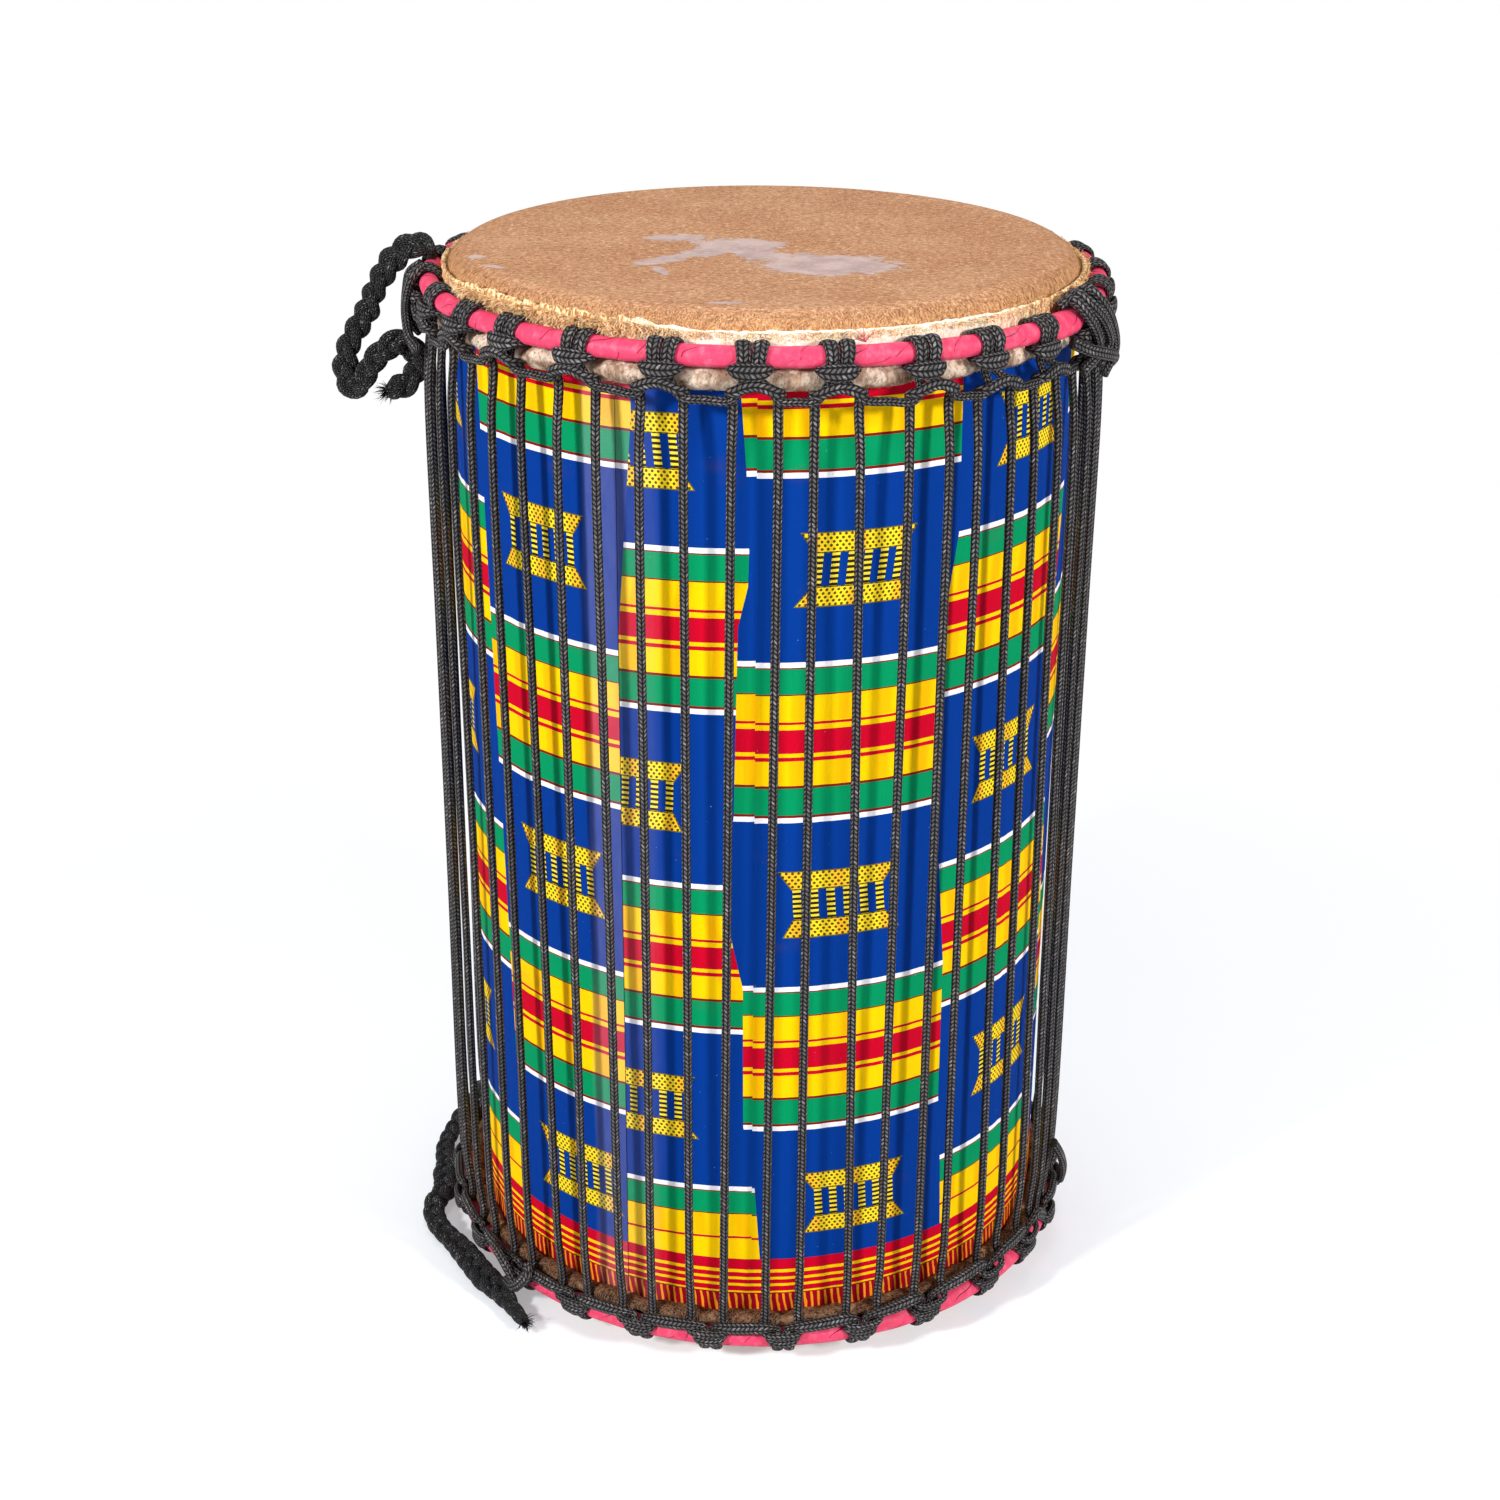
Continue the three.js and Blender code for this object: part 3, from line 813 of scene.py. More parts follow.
def piece(name: str, points: Array, faces: list[list[int]], layout: Array, finish: Material,
          smooth: bool = True) -> bpy.types.Object:
    """Makes one piece, and fixes it to the drum.

    Args:
        name: Its name.
        points: Its points, in millimetres.
        faces: The corners of each face.
        layout: Two layout values for each corner.
        finish: Its finish.
        smooth: Whether its faces are shaded as one surface.

    Returns:
        The piece.
    """
    mesh = bpy.data.meshes.new(name)
    mesh.from_pydata((points.reshape(-1, 3) * MM).tolist(), [], faces)
    mesh.uv_layers.new(name="lay").data.foreach_set("uv", layout.astype(np.float32).ravel())
    mesh.polygons.foreach_set("use_smooth", np.full(len(faces), smooth))
    mesh.materials.append(finish)
    mesh.update()
    item = bpy.data.objects.new(name, mesh)
    bpy.context.scene.collection.objects.link(item)
    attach(item, "root")
    log.info("%s: %d faces", name, len(faces))
    return item


def surface(name: str, grids: Sequence[Grid], finish: Material,
            node: str = "") -> bpy.types.Object:
    """Makes one piece out of grids.

    Args:
        name: Its name.
        grids: The grids.
        finish: Its finish.
        node: The CAD node that it replaces, if any.

    Returns:
        The piece.
    """
    points, faces, values, start = [], [], [], 0
    for grid in grids:
        more, layout = grid.faces(start)
        faces += more
        values.append(layout)
        points.append(grid.points.reshape(-1, 3))
        start += len(points[-1])
    item = piece(name, np.concatenate(points), faces, np.concatenate(values), finish)
    if node:
        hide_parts(node)
    return item


def ribbons(name: str, root: Array, normal: Array, flow: Array, length: Array, width: Array,
            finish: Material) -> None:
    """Many narrow tapered ribbons, each bent once.

    A ribbon starts at its root, rises by a fifth of its length over its first half and comes back
    down over its second, and it is widest at the root and a point at the tip.

    Args:
        name: The piece's name.
        root: Where each starts.
        normal: Away from the surface.
        flow: The way each lies.
        length: Its length, one number in each row.
        width: Its width, one number in each row.
        finish: Its finish.
    """
    half = unit(np.cross(flow, normal)) * width / 2
    middle = root + (flow * 0.5 + normal * 0.2) * length
    tip = root + (flow + normal * 0.12) * length
    points = np.stack([root - half, root + half, middle + half * 0.8, middle - half * 0.8, tip],
                      axis=1)
    start = np.arange(len(root))[:, None] * 5
    faces = np.stack([start + [0, 1, 2], start + [0, 2, 3], start + [3, 2, 4]], axis=1)
    corners = [[0, 0], [1, 0], [1, 0.5], [0, 0], [1, 0.5], [0, 0.5], [0, 0.5], [1, 0.5], [0.5, 1]]
    piece(name, points, faces.reshape(-1, 3).tolist(), np.tile(corners, (len(root), 1)), finish,
          smooth=False)


def ring_grid(outline: Array, count: int, shape: Callable[[Array, Array], Array] | None = None,
              closed: bool = False) -> Grid:
    """A surface of revolution, whose outline may change round the drum.

    A point at an angle has the outline's radius times the angle's cosine and sine as its place,
    and the outline's height, each with what the shape adds there.

    Args:
        outline: Radius and height of its points, outwards and down on top.
        count: Steps round the axis.
        shape: Gives what to add to radius and height, from the angle and the run of the outline.
        closed: Whether the outline closes on itself.

    Returns:
        The grid, laid out in millimetres round and along the outline.
    """
    angle = np.arange(count) / count * math.tau - math.pi / 2
    run = lengths(outline)
    rz = np.broadcast_to(outline, (count, *outline.shape))
    if shape is not None:
        rz = rz + shape(*np.meshgrid(angle, run, indexing="ij"))
    radius, turned = rz[..., 0], angle[:, None]
    points = np.stack([np.cos(turned) * radius, np.sin(turned) * radius, rz[..., 1]], axis=2)
    if closed:
        run = np.append(run, run[-1] + np.linalg.norm(outline[0] - outline[-1]))
    round_ = np.append(angle, angle[0] + math.tau) * CROWN_RADIUS_MM
    layout = np.stack(np.meshgrid(round_, run, indexing="ij"), axis=2)
    return Grid(points, layout, along=True, around=closed)


def resample(stations: Array, closed: bool, fine: float, coarse: float) -> tuple[Array, Array]:
    """A smooth curve through stations, by cubic pieces whose slopes match at each station.

    The slope at a station is the mean of the slopes beside it, each weighted by the other's
    length, and short pieces are cut finely and long ones coarsely.

    Args:
        stations: Rows of values, of which the first three are the place.
        closed: Whether the last row joins the first.
        fine: The spacing on pieces shorter than 40 mm.
        coarse: The spacing on the others.

    Returns:
        The rows of the smooth curve, and the row at which each station lies.
    """
    before = stations[-1:] if closed else 2 * stations[:1] - stations[1:2]
    after = stations[:2] if closed else 2 * stations[-1:] - stations[-2:-1]
    extended = np.concatenate([before, stations, after])
    chord = np.linalg.norm(np.diff(extended[:, :3], axis=0), axis=1)
    step = np.sqrt(np.maximum(chord, 1e-6))[:, None]
    slope = np.diff(extended, axis=0) / step
    tangent = (slope[:-1] * step[1:] + slope[1:] * step[:-1]) / (step[:-1] + step[1:])
    pieces = len(stations) if closed else len(stations) - 1
    first, second = extended[1:1 + pieces], extended[2:2 + pieces]
    size, length = step[1:1 + pieces], chord[1:1 + pieces]
    leave, arrive = tangent[:pieces], tangent[1:1 + pieces]
    cuts = np.maximum(1, np.ceil(length / np.where(length < 40.0, fine, coarse))).astype(int)
    part = np.repeat(np.arange(pieces), cuts)
    starts = np.concatenate([[0], np.cumsum(cuts)])
    t = ((np.arange(len(part)) - starts[part]) / cuts[part])[:, None]
    rows = ((2 * t**3 - 3 * t**2 + 1) * first[part] + (t**3 - 2 * t**2 + t) * (size * leave)[part]
            + (3 * t**2 - 2 * t**3) * second[part] + (t**3 - t**2) * (size * arrive)[part])
    return (rows if closed else np.concatenate([rows, stations[-1:]])), starts


def sweep(rows: Array, closed: bool, sides: int) -> Grid:
    """Carries an oval along a curve.

    The oval's long axis is the forward direction crossed with the normal, and its short axis is
    the normal made square to the forward direction.

    Args:
        rows: Centre, normal, width and thickness of each section.
        closed: Whether the last section joins the first.
        sides: Points on each section.

    Returns:
        The grid, laid out round from 0 to 1 and along in millimetres.
    """
    centre, normal = rows[:, 0:3], rows[:, 3:6]
    if closed:
        ahead = unit(np.roll(centre, -1, axis=0) - np.roll(centre, 1, axis=0))
        along = lengths(np.concatenate([centre, centre[:1]]))
    else:
        ahead = unit(np.gradient(centre, axis=0))
        along = lengths(centre)
    side = unit(np.cross(ahead, normal))
    lift = np.cross(side, ahead)
    turn = np.arange(sides) / sides * math.tau
    width, thickness = rows[:, 6:7] / 2, rows[:, 7:8] / 2
    points = (centre[:, None] + (width * np.cos(turn))[:, :, None] * side[:, None]
              - (thickness * np.sin(turn))[:, :, None] * lift[:, None])
    layout = np.stack(np.meshgrid(np.arange(sides + 1) / sides, along), axis=2)
    return Grid(points, layout, along=closed, around=True, caps=not closed)


@dataclass(frozen=True)
class Stray:
    """How far one hitch lies from its even place.

    Each pair is a shift along the ring and a drop towards the drum's middle: of the bars beside
    the hitch, of the crossing, of the band and of the turns round the ring.
    """

    bar: Pair
    cross: Pair
    band: Pair
    ring: Pair


@dataclass(frozen=True)
class End:
    """One end of the drum, with the depths of its rings from its face.

    The bar between hitches is radius, depth, width and thickness. A bend of the hitch, or of a
    lacing turn, is across, radius, depth, out, up, width, thickness and level. The level says
    which stray of the hitch it follows: 0 for the bar, 1 for the crossing, 2 for the band and 3
    for the ring, with mixes in between. A loose turn's bends are degrees from the front, radius
    and height.
    """

    name: str
    upright: bool
    first: float
    crown_depth: float
    flesh_depth: float
    roll_radius: float
    bar: tuple[float, ...]
    hitch: tuple[tuple[float, ...], ...]
    turn: tuple[tuple[float, ...], ...]
    strays: dict[int, Stray]
    loose: tuple[tuple[Point, ...], ...]

    @property
    def flip(self) -> int:
        """One for the upper end, whose face looks up, and minus one for the lower."""
        return 1 if self.upright else -1

    def height(self, depth: Array | float) -> Array | float:
        """The height of a depth from this end's face."""
        return HEIGHT_MM - depth if self.upright else depth

    def outline(self, points: Sequence[Pair]) -> Array:
        """Radius and height of points given by radius and depth."""
        radius, depth = np.array(points).T
        return np.stack([radius, self.height(depth)], axis=1)

    def wander(self) -> Array:
        """Shift and drop of every hitch at the four levels.

        The hitches seen in the photo have their own, and the others small random ones.

        Returns:
            For each hitch and level: the shift and the drop.
        """
        rng = np.random.default_rng(60 + int(self.upright))
        moves = rng.uniform(-1.0, 1.0, (HITCHES, 4, 2)) * np.array([1.2, 0.7])
        moves[:, :, 0] += rng.uniform(-1.4, 1.4, (HITCHES, 1))
        for hitch, stray in self.strays.items():
            moves[hitch % HITCHES] = (stray.bar, stray.cross, stray.band, stray.ring)
        return moves

    def carry(self, bends: Array, moves: Array) -> Array:
        """Sets out the same bends at every hitch.

        Args:
            bends: The bends of one hitch.
            moves: What wander returns.

        Returns:
            For each hitch and bend: centre, normal, width and thickness.
        """
        across, radius, depth, out, up, width, thickness, level = bends.T
        level = np.clip(level, 0.0, 2.999)
        whole = level.astype(int)
        part = (level - whole)[:, None]
        add = moves[:, whole] * (1.0 - part) + moves[:, whole + 1] * part
        angle = (self.first + np.arange(HITCHES)[:, None] * PITCH
                 + (across + add[..., 0]) / LACE_RADIUS_MM)
        out, up = out / np.hypot(out, up), up * self.flip / np.hypot(out, up)
        parts = [radius * np.cos(angle), radius * np.sin(angle), self.height(depth + add[..., 1]),
                 out * np.cos(angle), out * np.sin(angle), up, width, thickness]
        return np.stack([np.broadcast_to(part, angle.shape) for part in parts], axis=2)

    def between(self, moves: Array) -> Array:
        """The middle of the bar after each hitch, half way to the next.

        Args:
            moves: What wander returns.

        Returns:
            For each hitch: centre, normal, width and thickness, as carry gives.
        """
        middle = moves.copy()
        middle[:, 0] = (moves[:, 0] + np.roll(moves[:, 0], -1, axis=0)) / 2
        radius, depth, width, thickness = self.bar
        half = PITCH / 2 * LACE_RADIUS_MM
        bend = np.array([[half, radius, depth, 1.0, 0.0, width, thickness, 0.0]])
        return self.carry(bend, middle)

    def stray_at(self, angle: Array, pick: Callable[[Stray], float]) -> Array:
        """A stray value carried smoothly from hitch to hitch.

        Args:
            angle: Place round the drum, in radians.
            pick: Takes the value out of a stray.

        Returns:
            The value at each angle, and zero away from the hitches that have strays.
        """
        marks = sorted((hitch, pick(stray)) for hitch, stray in self.strays.items())
        marks = [(marks[0][0] - 3, 0.0), *marks, (marks[-1][0] + 3, 0.0)]
        turn = (angle - self.first) / PITCH
        turn = (turn + HITCHES / 2) % HITCHES - HITCHES / 2
        return np.interp(turn, *np.array(marks).T)

    def ring_drop(self, angle: Array) -> Array:
        """How far the crown ring lies below its even place."""
        return self.stray_at(angle, lambda stray: stray.ring[1])

    def pinch(self, angle: Array) -> Array:
        """One at each hitch and zero between them, as the ropes press on the hide."""
        shift = self.stray_at(angle, lambda stray: stray.band[0])
        turn = (angle - self.first) / PITCH - shift / (PITCH * LACE_RADIUS_MM)
        away = (turn - np.round(turn)) * PITCH * LACE_RADIUS_MM
        return np.exp(-(away / 7.5) ** 4)


def wrap_bends(crown_depth: float, spreads: Sequence[float], widths: Sequence[float],
               reach: float, thickness: float) -> list[tuple[float, ...]]:
    """The bends of a rope over the outside of a crown ring and round behind it.

    Args:
        crown_depth: The ring's depth from the face.
        spreads: Distance across at each bend.
        widths: The rope's width at each bend.
        reach: Distance of the rope's middle from the ring's.
        thickness: The rope's thickness.

    Returns:
        The bends, as End.carry reads them.
    """
    bends = []
    for degrees, spread, width in zip((-30, 30, 90, 150, 210, 270), spreads, widths):
        out, up = math.cos(math.radians(degrees)), math.sin(math.radians(degrees))
        bends.append((spread, CROWN_RADIUS_MM + reach * out, crown_depth - reach * up, out, up,
                      width, thickness, 2.6 if degrees in (-30, 270) else 3.0))
    return bends


def mirrored(half: Sequence[Sequence[float]]) -> Array:
    """Both halves of a hitch: one side's bends reversed after the other side's mirrored ones."""
    bends = np.array(half)
    left = bends[bends[:, 0] > 0] * np.array([-1, 1, 1, 1, 1, 1, 1, 1])
    return np.concatenate([left, bends[::-1]])


TOP = End(
    name="top", upright=True, first=FIRST_HITCH, crown_depth=18.0, flesh_depth=31.0,
    roll_radius=5.7, bar=(184.9, 39.6, 4.6, 4.6),
    hitch=(
        (11.6, 185.0, 39.2, 1, 0, 4.6, 4.6, 0.0), (7.6, 184.4, 35.0, 1, 0, 4.8, 4.0, 0.8),
        (3.2, 182.6, 29.6, 1, 0, 4.8, 3.6, 1.8),
        *wrap_bends(18.0, (3.5, 3.8, 4.5, 5.4, 6.8, 8.0), (6.6, 7.2, 7.7, 7.0, 5.6, 4.8), 6.9, 2.9),
        (9.3, 185.0, 24.6, 0, -1, 4.0, 4.2, 2.1), (7.0, 188.2, 25.0, 0, -1, 2.7, 7.4, 2.0),
        (2.6, 189.1, 25.3, 0, -1, 2.8, 9.0, 2.0)),
    turn=(
        (11.4, 180.8, 39.5, -1, 0, 5.2, 4.4, 0.1), (12.6, 183.2, 36.4, -1, 1, 5.0, 4.2, 0.5),
        (10.6, 187.0, 35.6, 0, 1, 4.0, 5.4, 0.9), (5.6, 187.9, 33.4, 0, 1, 3.8, 6.0, 1.0),
        (0.0, 188.2, 32.2, 0, 1, 3.6, 5.6, 1.0)),
    strays={
        -5: Stray((-7, -1), (-7, -2), (-3, -1), (5, 0)),
        -4: Stray((-8.4, -1.4), (-8.4, -3), (-4.4, -2), (4, 0.3)),
        -3: Stray((-8.5, -2.9), (-8.5, -3.3), (-4.4, -2.5), (-2.7, 0.7)),
        -2: Stray((-4, -2.9), (-4, -2.6), (-3.6, -1.6), (-1.4, 0.9)),
        -1: Stray((-0.2, -0.7), (-0.2, -0.9), (0.6, -0.6), (1.2, 1)),
        0: Stray((3.6, -0.2), (3.6, -1.1), (1, -1.1), (1.8, 1)),
        1: Stray((0.9, 0.4), (0.9, 0.5), (0.1, -0.1), (0.9, 1.2)),
        2: Stray((7.1, 3.2), (7.1, 2.5), (1.8, 1.6), (2.7, 2)),
        3: Stray((4.7, 5), (4.7, 6.3), (-2.8, 2.1), (-2.1, 2.6)),
        4: Stray((2.9, 5.1), (2.9, 7.4), (-5.5, 3.3), (-3.5, 3)),
        5: Stray((2, 5), (2, 6), (-5, 3.5), (-3.5, 3.4))},
    loose=(
        ((61, 176, 588), (61.4, 180.5, 592), (62, 187.6, 588), (65.5, 192.4, 577),
         (68.4, 193.4, 563), (66, 190.6, 553)),
        ((58.4, 177, 586.5), (59.2, 181.5, 590.5), (60, 188, 585.5), (62.6, 191.8, 574),
         (64, 192.4, 562), (60, 189.6, 554)),
        ((64.4, 177, 588), (65.6, 182, 592), (66.5, 189.2, 586), (69.8, 192.9, 573),
         (72.2, 193.6, 557), (69, 191, 546)),
        ((57.6, 186.4, 570), (60.5, 191.2, 565), (64.6, 195.4, 560.6), (69, 196, 556),
         (73, 192, 550)),
        ((-80, 182, 590), (-78.5, 188.6, 586), (-80, 191.6, 577), (-83, 192.6, 565),
         (-80, 191.4, 553), (-76, 188, 549)),
        ((-86, 184, 588), (-86.4, 190.4, 583), (-87, 193, 573), (-86, 193.8, 561),
         (-83, 192, 551), (-80, 188.5, 545)),
        ((-91, 185, 582), (-92, 191, 576), (-90, 193.6, 567), (-87, 192, 557), (-89, 188, 549))))

BOTTOM = End(
    name="bottom", upright=False, first=FIRST_HITCH + PITCH / 2, crown_depth=18.4,
    flesh_depth=26.8, roll_radius=4.9, bar=(185.6, 28.2, 7.6, 5.6),
    hitch=(
        (10.6, 185.6, 28.2, 1, 0, 6.8, 5.0, 0.0), (6.8, 184.8, 27.8, 1, 0, 5.0, 4.2, 0.6),
        (3.0, 183.4, 26.0, 1, 0, 4.6, 3.6, 1.6),
        *wrap_bends(18.4, (3.0, 3.2, 3.5, 4.6, 6.4, 7.6), (6.0, 6.2, 6.0, 5.4, 4.8, 4.4),
                    6.75, 2.7),
        (8.2, 184.9, 22.6, 0, -1, 4.0, 4.0, 2.1), (6.2, 188.6, 20.8, 0, -1, 2.5, 5.0, 2.0),
        (2.4, 189.2, 20.2, 0, -1, 2.5, 5.6, 2.0)),
    turn=(
        (9.6, 181.0, 29.6, -1, 0, 5.0, 4.2, 0.1), (10.6, 183.4, 25.6, -1, 1, 4.6, 3.6, 0.5),
        (8.2, 187.3, 24.4, 0, 1, 3.6, 4.2, 0.9), (4.2, 188.6, 24.5, 0, 1, 3.2, 4.4, 1.4),
        (0.0, 188.9, 24.8, 0, 1, 3.2, 4.4, 1.5)),
    strays={
        -4: Stray((0.5, -1.5), (2, -1), (5, -0.5), (5, 0)),
        -3: Stray((1.7, -1.7), (3, -1), (5.5, -0.5), (7, 0)),
        -2: Stray((1.6, -1.1), (2.5, -0.5), (4.6, 0), (4.6, 0)),
        -1: Stray((0.8, -0.5), (1.4, 0), (2.7, 0), (3.2, 0)),
        0: Stray((0.7, 0.2), (0.8, 0), (1, 0), (1.6, 0)),
        1: Stray((5.2, 1.9), (4.6, 1.2), (3.3, 0.5), (2.3, 0)),
        2: Stray((5.6, 4.4), (4.4, 2.6), (1.9, 1), (1.3, 0)),
        3: Stray((11, 7), (9.5, 4), (6, 2), (7, 0)),
        4: Stray((10, 8), (9, 5), (6, 2), (5, 0))},
    loose=(
        ((73.4, 187, 70), (74.6, 190, 62), (77, 191.6, 50), (79, 191.4, 40), (80.4, 190, 31)),
        ((-55, 187, 27), (-52, 190.6, 31), (-48, 192.4, 26), (-46, 191.4, 17), (-48, 189, 12)),
        ((-44, 187, 33), (-43, 190.4, 30), (-44.4, 192.4, 22), (-47, 191.6, 15), (-50, 189, 12))))


@dataclass
class Head:
    """One hide: its face, rim and collar, its roll round the flesh ring, and its trimmed edge."""

    end: End
    centre_radius: float = 3.0
    bend_start: float = 156.2
    bend_reach: float = 13.7
    bend_depth: float = 14.5
    edge_top: float = 8.9
    edge_wall: Pair = (170.3, 172.0)
    steps: int = 288

    def build(self, hide: dict[HidePart, Material], hair: dict[str, Material]) -> None:
        """Makes the three surfaces and the loose hair.

        Args:
            hide: The finish of each part of the hide.
            hair: The finishes of the loose hair.
        """
        self.face(hide[HidePart.FACE])
        self.roll(hide[HidePart.ROLL if self.end.upright else HidePart.FUR])
        self.edge(hide[HidePart.EDGE])
        self.hair(hair["dark_hair"])
        if self.end.upright:
            self.fringe(hair["pale_hair"])
            self.rim(hair["rim_hair"])

    def outwards(self, grid: Grid) -> Grid:
        """The grid with its faces outwards at either end of the drum."""
        return grid if self.end.upright else grid.reversed()

    def face(self, finish: Material) -> None:
        """Face, rim and collar: flat rings, a quarter circle and a straight side in one outline.

        The collar is pulled in a little between the hitches and waves where hair lies under it,
        and the face sags where the bumps are low. The middle closes nearly at a point.

        Args:
            finish: The hide's finish.
        """
        end = self.end
        side_radius = self.bend_start + self.bend_reach
        flat = [(r, 0.0) for r in np.linspace(self.centre_radius, 154.0, 24)]
        rim = [(self.bend_start + self.bend_reach * math.sin(a),
                self.bend_depth - self.bend_depth * math.cos(a))
               for a in np.linspace(0.08, math.pi / 2, 12)]
        side = [(side_radius, d) for d in np.linspace(16.0, end.flesh_depth - 1.0, 8)]

        def shape(angle: Array, run: Array) -> Array:
            """The pull of the collar, and the sag of the face."""
            low = np.clip((run - 165.0) / 25.0, 0.0, 1.0)
            pull = np.cos((angle - end.first) * HITCHES) * 0.12
            pull = pull + bumps(angle, 9, 3 + end.flip) * 0.16
            flat_share = np.clip(1.0 - run / 150.0, 0.0, 1.0) * np.clip(run / 40.0, 0, 1)
            sag = bumps(angle, 7, 21, 2) * 0.25 * flat_share
            return np.stack([low * pull, (sag * 0.6 - 0.15) * end.flip], axis=-1)

        grid = ring_grid(end.outline(flat + rim + side), self.steps, shape)
        inner = grid.points[:, 0]
        middle = np.stack([inner * np.array([0.01, 0.01, 1.0]), inner])
        centre = Grid(middle if end.upright else middle[::-1],
                      np.zeros((2, self.steps + 1, 2)), around=True)
        surface(f"{end.name}_hide", [self.outwards(grid), centre], finish,
                f"{end.name}_head")

    def roll(self, finish: Material) -> None:
        """The hide over the flesh ring, puffed out between the hitches and pinched at them."""
        end = self.end
        outline = circle(FLESH_RADIUS_MM, end.height(end.flesh_depth), end.roll_radius, 24)

        def shape(angle: Array, run: Array) -> Array:
            """Moves the roll's skin in and out along the direction from its middle."""
            theta = -run / end.roll_radius
            lump = bumps(angle, 16, 5 if end.upright else 6, 9) * 0.35
            lump = lump + bumps(angle + 0.3 * np.sin(theta), 10, 8, 40) * 0.16
            lump = lump + 0.35 - end.pinch(angle) * 1.5
            return np.stack([lump * np.cos(theta), lump * np.sin(theta)], axis=-1)

        surface(f"{end.name}_hide_roll", [ring_grid(outline, 540, shape, closed=True)], finish)

    def flare(self, angle: Array) -> Array:
        """One where the trimmed edge of the playing head is left long and bends out."""
        if not self.end.upright:
            return np.zeros_like(angle)
        front = np.degrees(np.arctan2(np.cos(angle), -np.sin(angle)))
        rise = np.clip((front + 68.0) / 12.0, 0.0, 1.0)
        fall = np.clip((-10.0 - front) / 14.0, 0.0, 1.0)
        return rise * rise * (3 - 2 * rise) * fall * fall * (3 - 2 * fall)

    def edge(self, finish: Material) -> None:
        """The trimmed edge, a wall of folded hide that stands up behind the crown ring.

        Its rim is a low dome that wanders up and down by sums of sines, and on the playing end it
        is left long at the front left, where it bends out.

        Args:
            finish: The edge's finish.
        """
        end = self.end
        inner_radius, outer_radius = self.edge_wall
        depths = [end.flesh_depth - 4.0, 20.0, 16.0, 14.0, 12.6, 11.4, self.edge_top + 0.4]
        outer = [(outer_radius + 0.5 * math.sin(d), d) for d in depths]
        lip = [(171.7 - 0.175 * step, self.edge_top) for step in range(9)]
        inner = [(inner_radius, d) for d in reversed(depths)]

        def shape(angle: Array, run: Array) -> Array:
            """How far each point moves out and up, most of all at the rim."""
            share = 1.0 - np.abs(run / run.max() * 2.0 - 1.0)
            rise = np.clip((share - 0.3) / 0.7, 0.0, 1.0)
            side = np.clip((0.5 - run / run.max()) / 0.038 + 0.5, 0.0, 1.0)
            dome = np.sqrt(np.clip(1.0 - (2.0 * side - 1.0) ** 2, 0.0, 1.0))
            flare = self.flare(angle)
            wave = bumps(angle, 14, 11 if end.upright else 12, 9)
            fold, fine = bumps(angle, 14, 31, 45), bumps(angle, 12, 33, 150)
            up = rise * (wave * (0.9 + flare * 2.7) + fold * (0.4 + flare * 2.2)
                         + fine * (0.3 + flare * 0.7) + flare * 2.2)
            out = rise ** 1.5 * (fold * (0.5 + flare * 1.3) + wave * 0.4 + 0.4
                                 + flare * (1.2 + wave))
            out = out + side * rise ** 2 * (0.7 + flare * 3.6)
            return np.stack([out, (up + (0.5 + flare * 2.2) * dome) * end.flip], axis=-1)

        grid = ring_grid(end.outline(outer + lip + inner), 1080, shape)
        surface(f"{end.name}_hide_edge", [self.outwards(grid)], finish)

    def hair(self, finish: Material) -> None:
        """Loose hairs: short tapered ribbons that leave the roll and lie down round it."""
        end = self.end
        rng = np.random.default_rng(40 + int(end.upright))
        each = (6000, 1)
        angle = rng.uniform(0.0, math.tau, each)
        around = np.radians(rng.uniform(-75.0, 70.0, each)) * end.flip
        reach = end.roll_radius + 0.1 - end.pinch(angle) * 1.4
        out, sideways = axes(angle)
        normal = out * np.cos(around) + UP * np.sin(around)
        root = out * FLESH_RADIUS_MM + UP * end.height(end.flesh_depth) + normal * reach
        lie = out * np.sin(around) - UP * np.cos(around)
        flow = unit(lie * 0.8 + sideways * rng.normal(0.0, 0.8, each))
        ribbons(f"{end.name}_hair", root, normal, flow, rng.uniform(1.4, 3.6, each),
                rng.uniform(0.14, 0.3, each), finish)

    def fringe(self, finish: Material) -> None:
        """Longer hairs over the outside of the trimmed edge, thickest where it is left long."""
        rng = np.random.default_rng(77)
        front = np.concatenate([rng.uniform(-70.0, -8.0, (1500, 1)),
                                rng.uniform(-8.0, 100.0, (1300, 1))])
        each = front.shape
        angle = np.radians(front - 90.0)
        out, sideways = axes(angle)
        flare = self.flare(angle)
        drop = rng.uniform(0.0, 1.0, each)
        radius = 173.4 + flare * 4.6 * (1 - drop) ** 1.2
        height = 591.2 + flare * 3.6 - drop * (3.6 + flare * 4.0)
        flow = unit(out * (0.35 + flare * 0.55) - UP * rng.uniform(-0.5, 1.0, each)
                    + sideways * rng.normal(0.1, 0.5, each))
        length = rng.uniform(1.2, 2.8, each) + flare * rng.uniform(1.5, 5.5, each)
        ribbons("top_edge_hair", out * radius + UP * height, out * 0.8 + UP * 0.5, flow, length,
                rng.uniform(0.22, 0.6, each), finish)

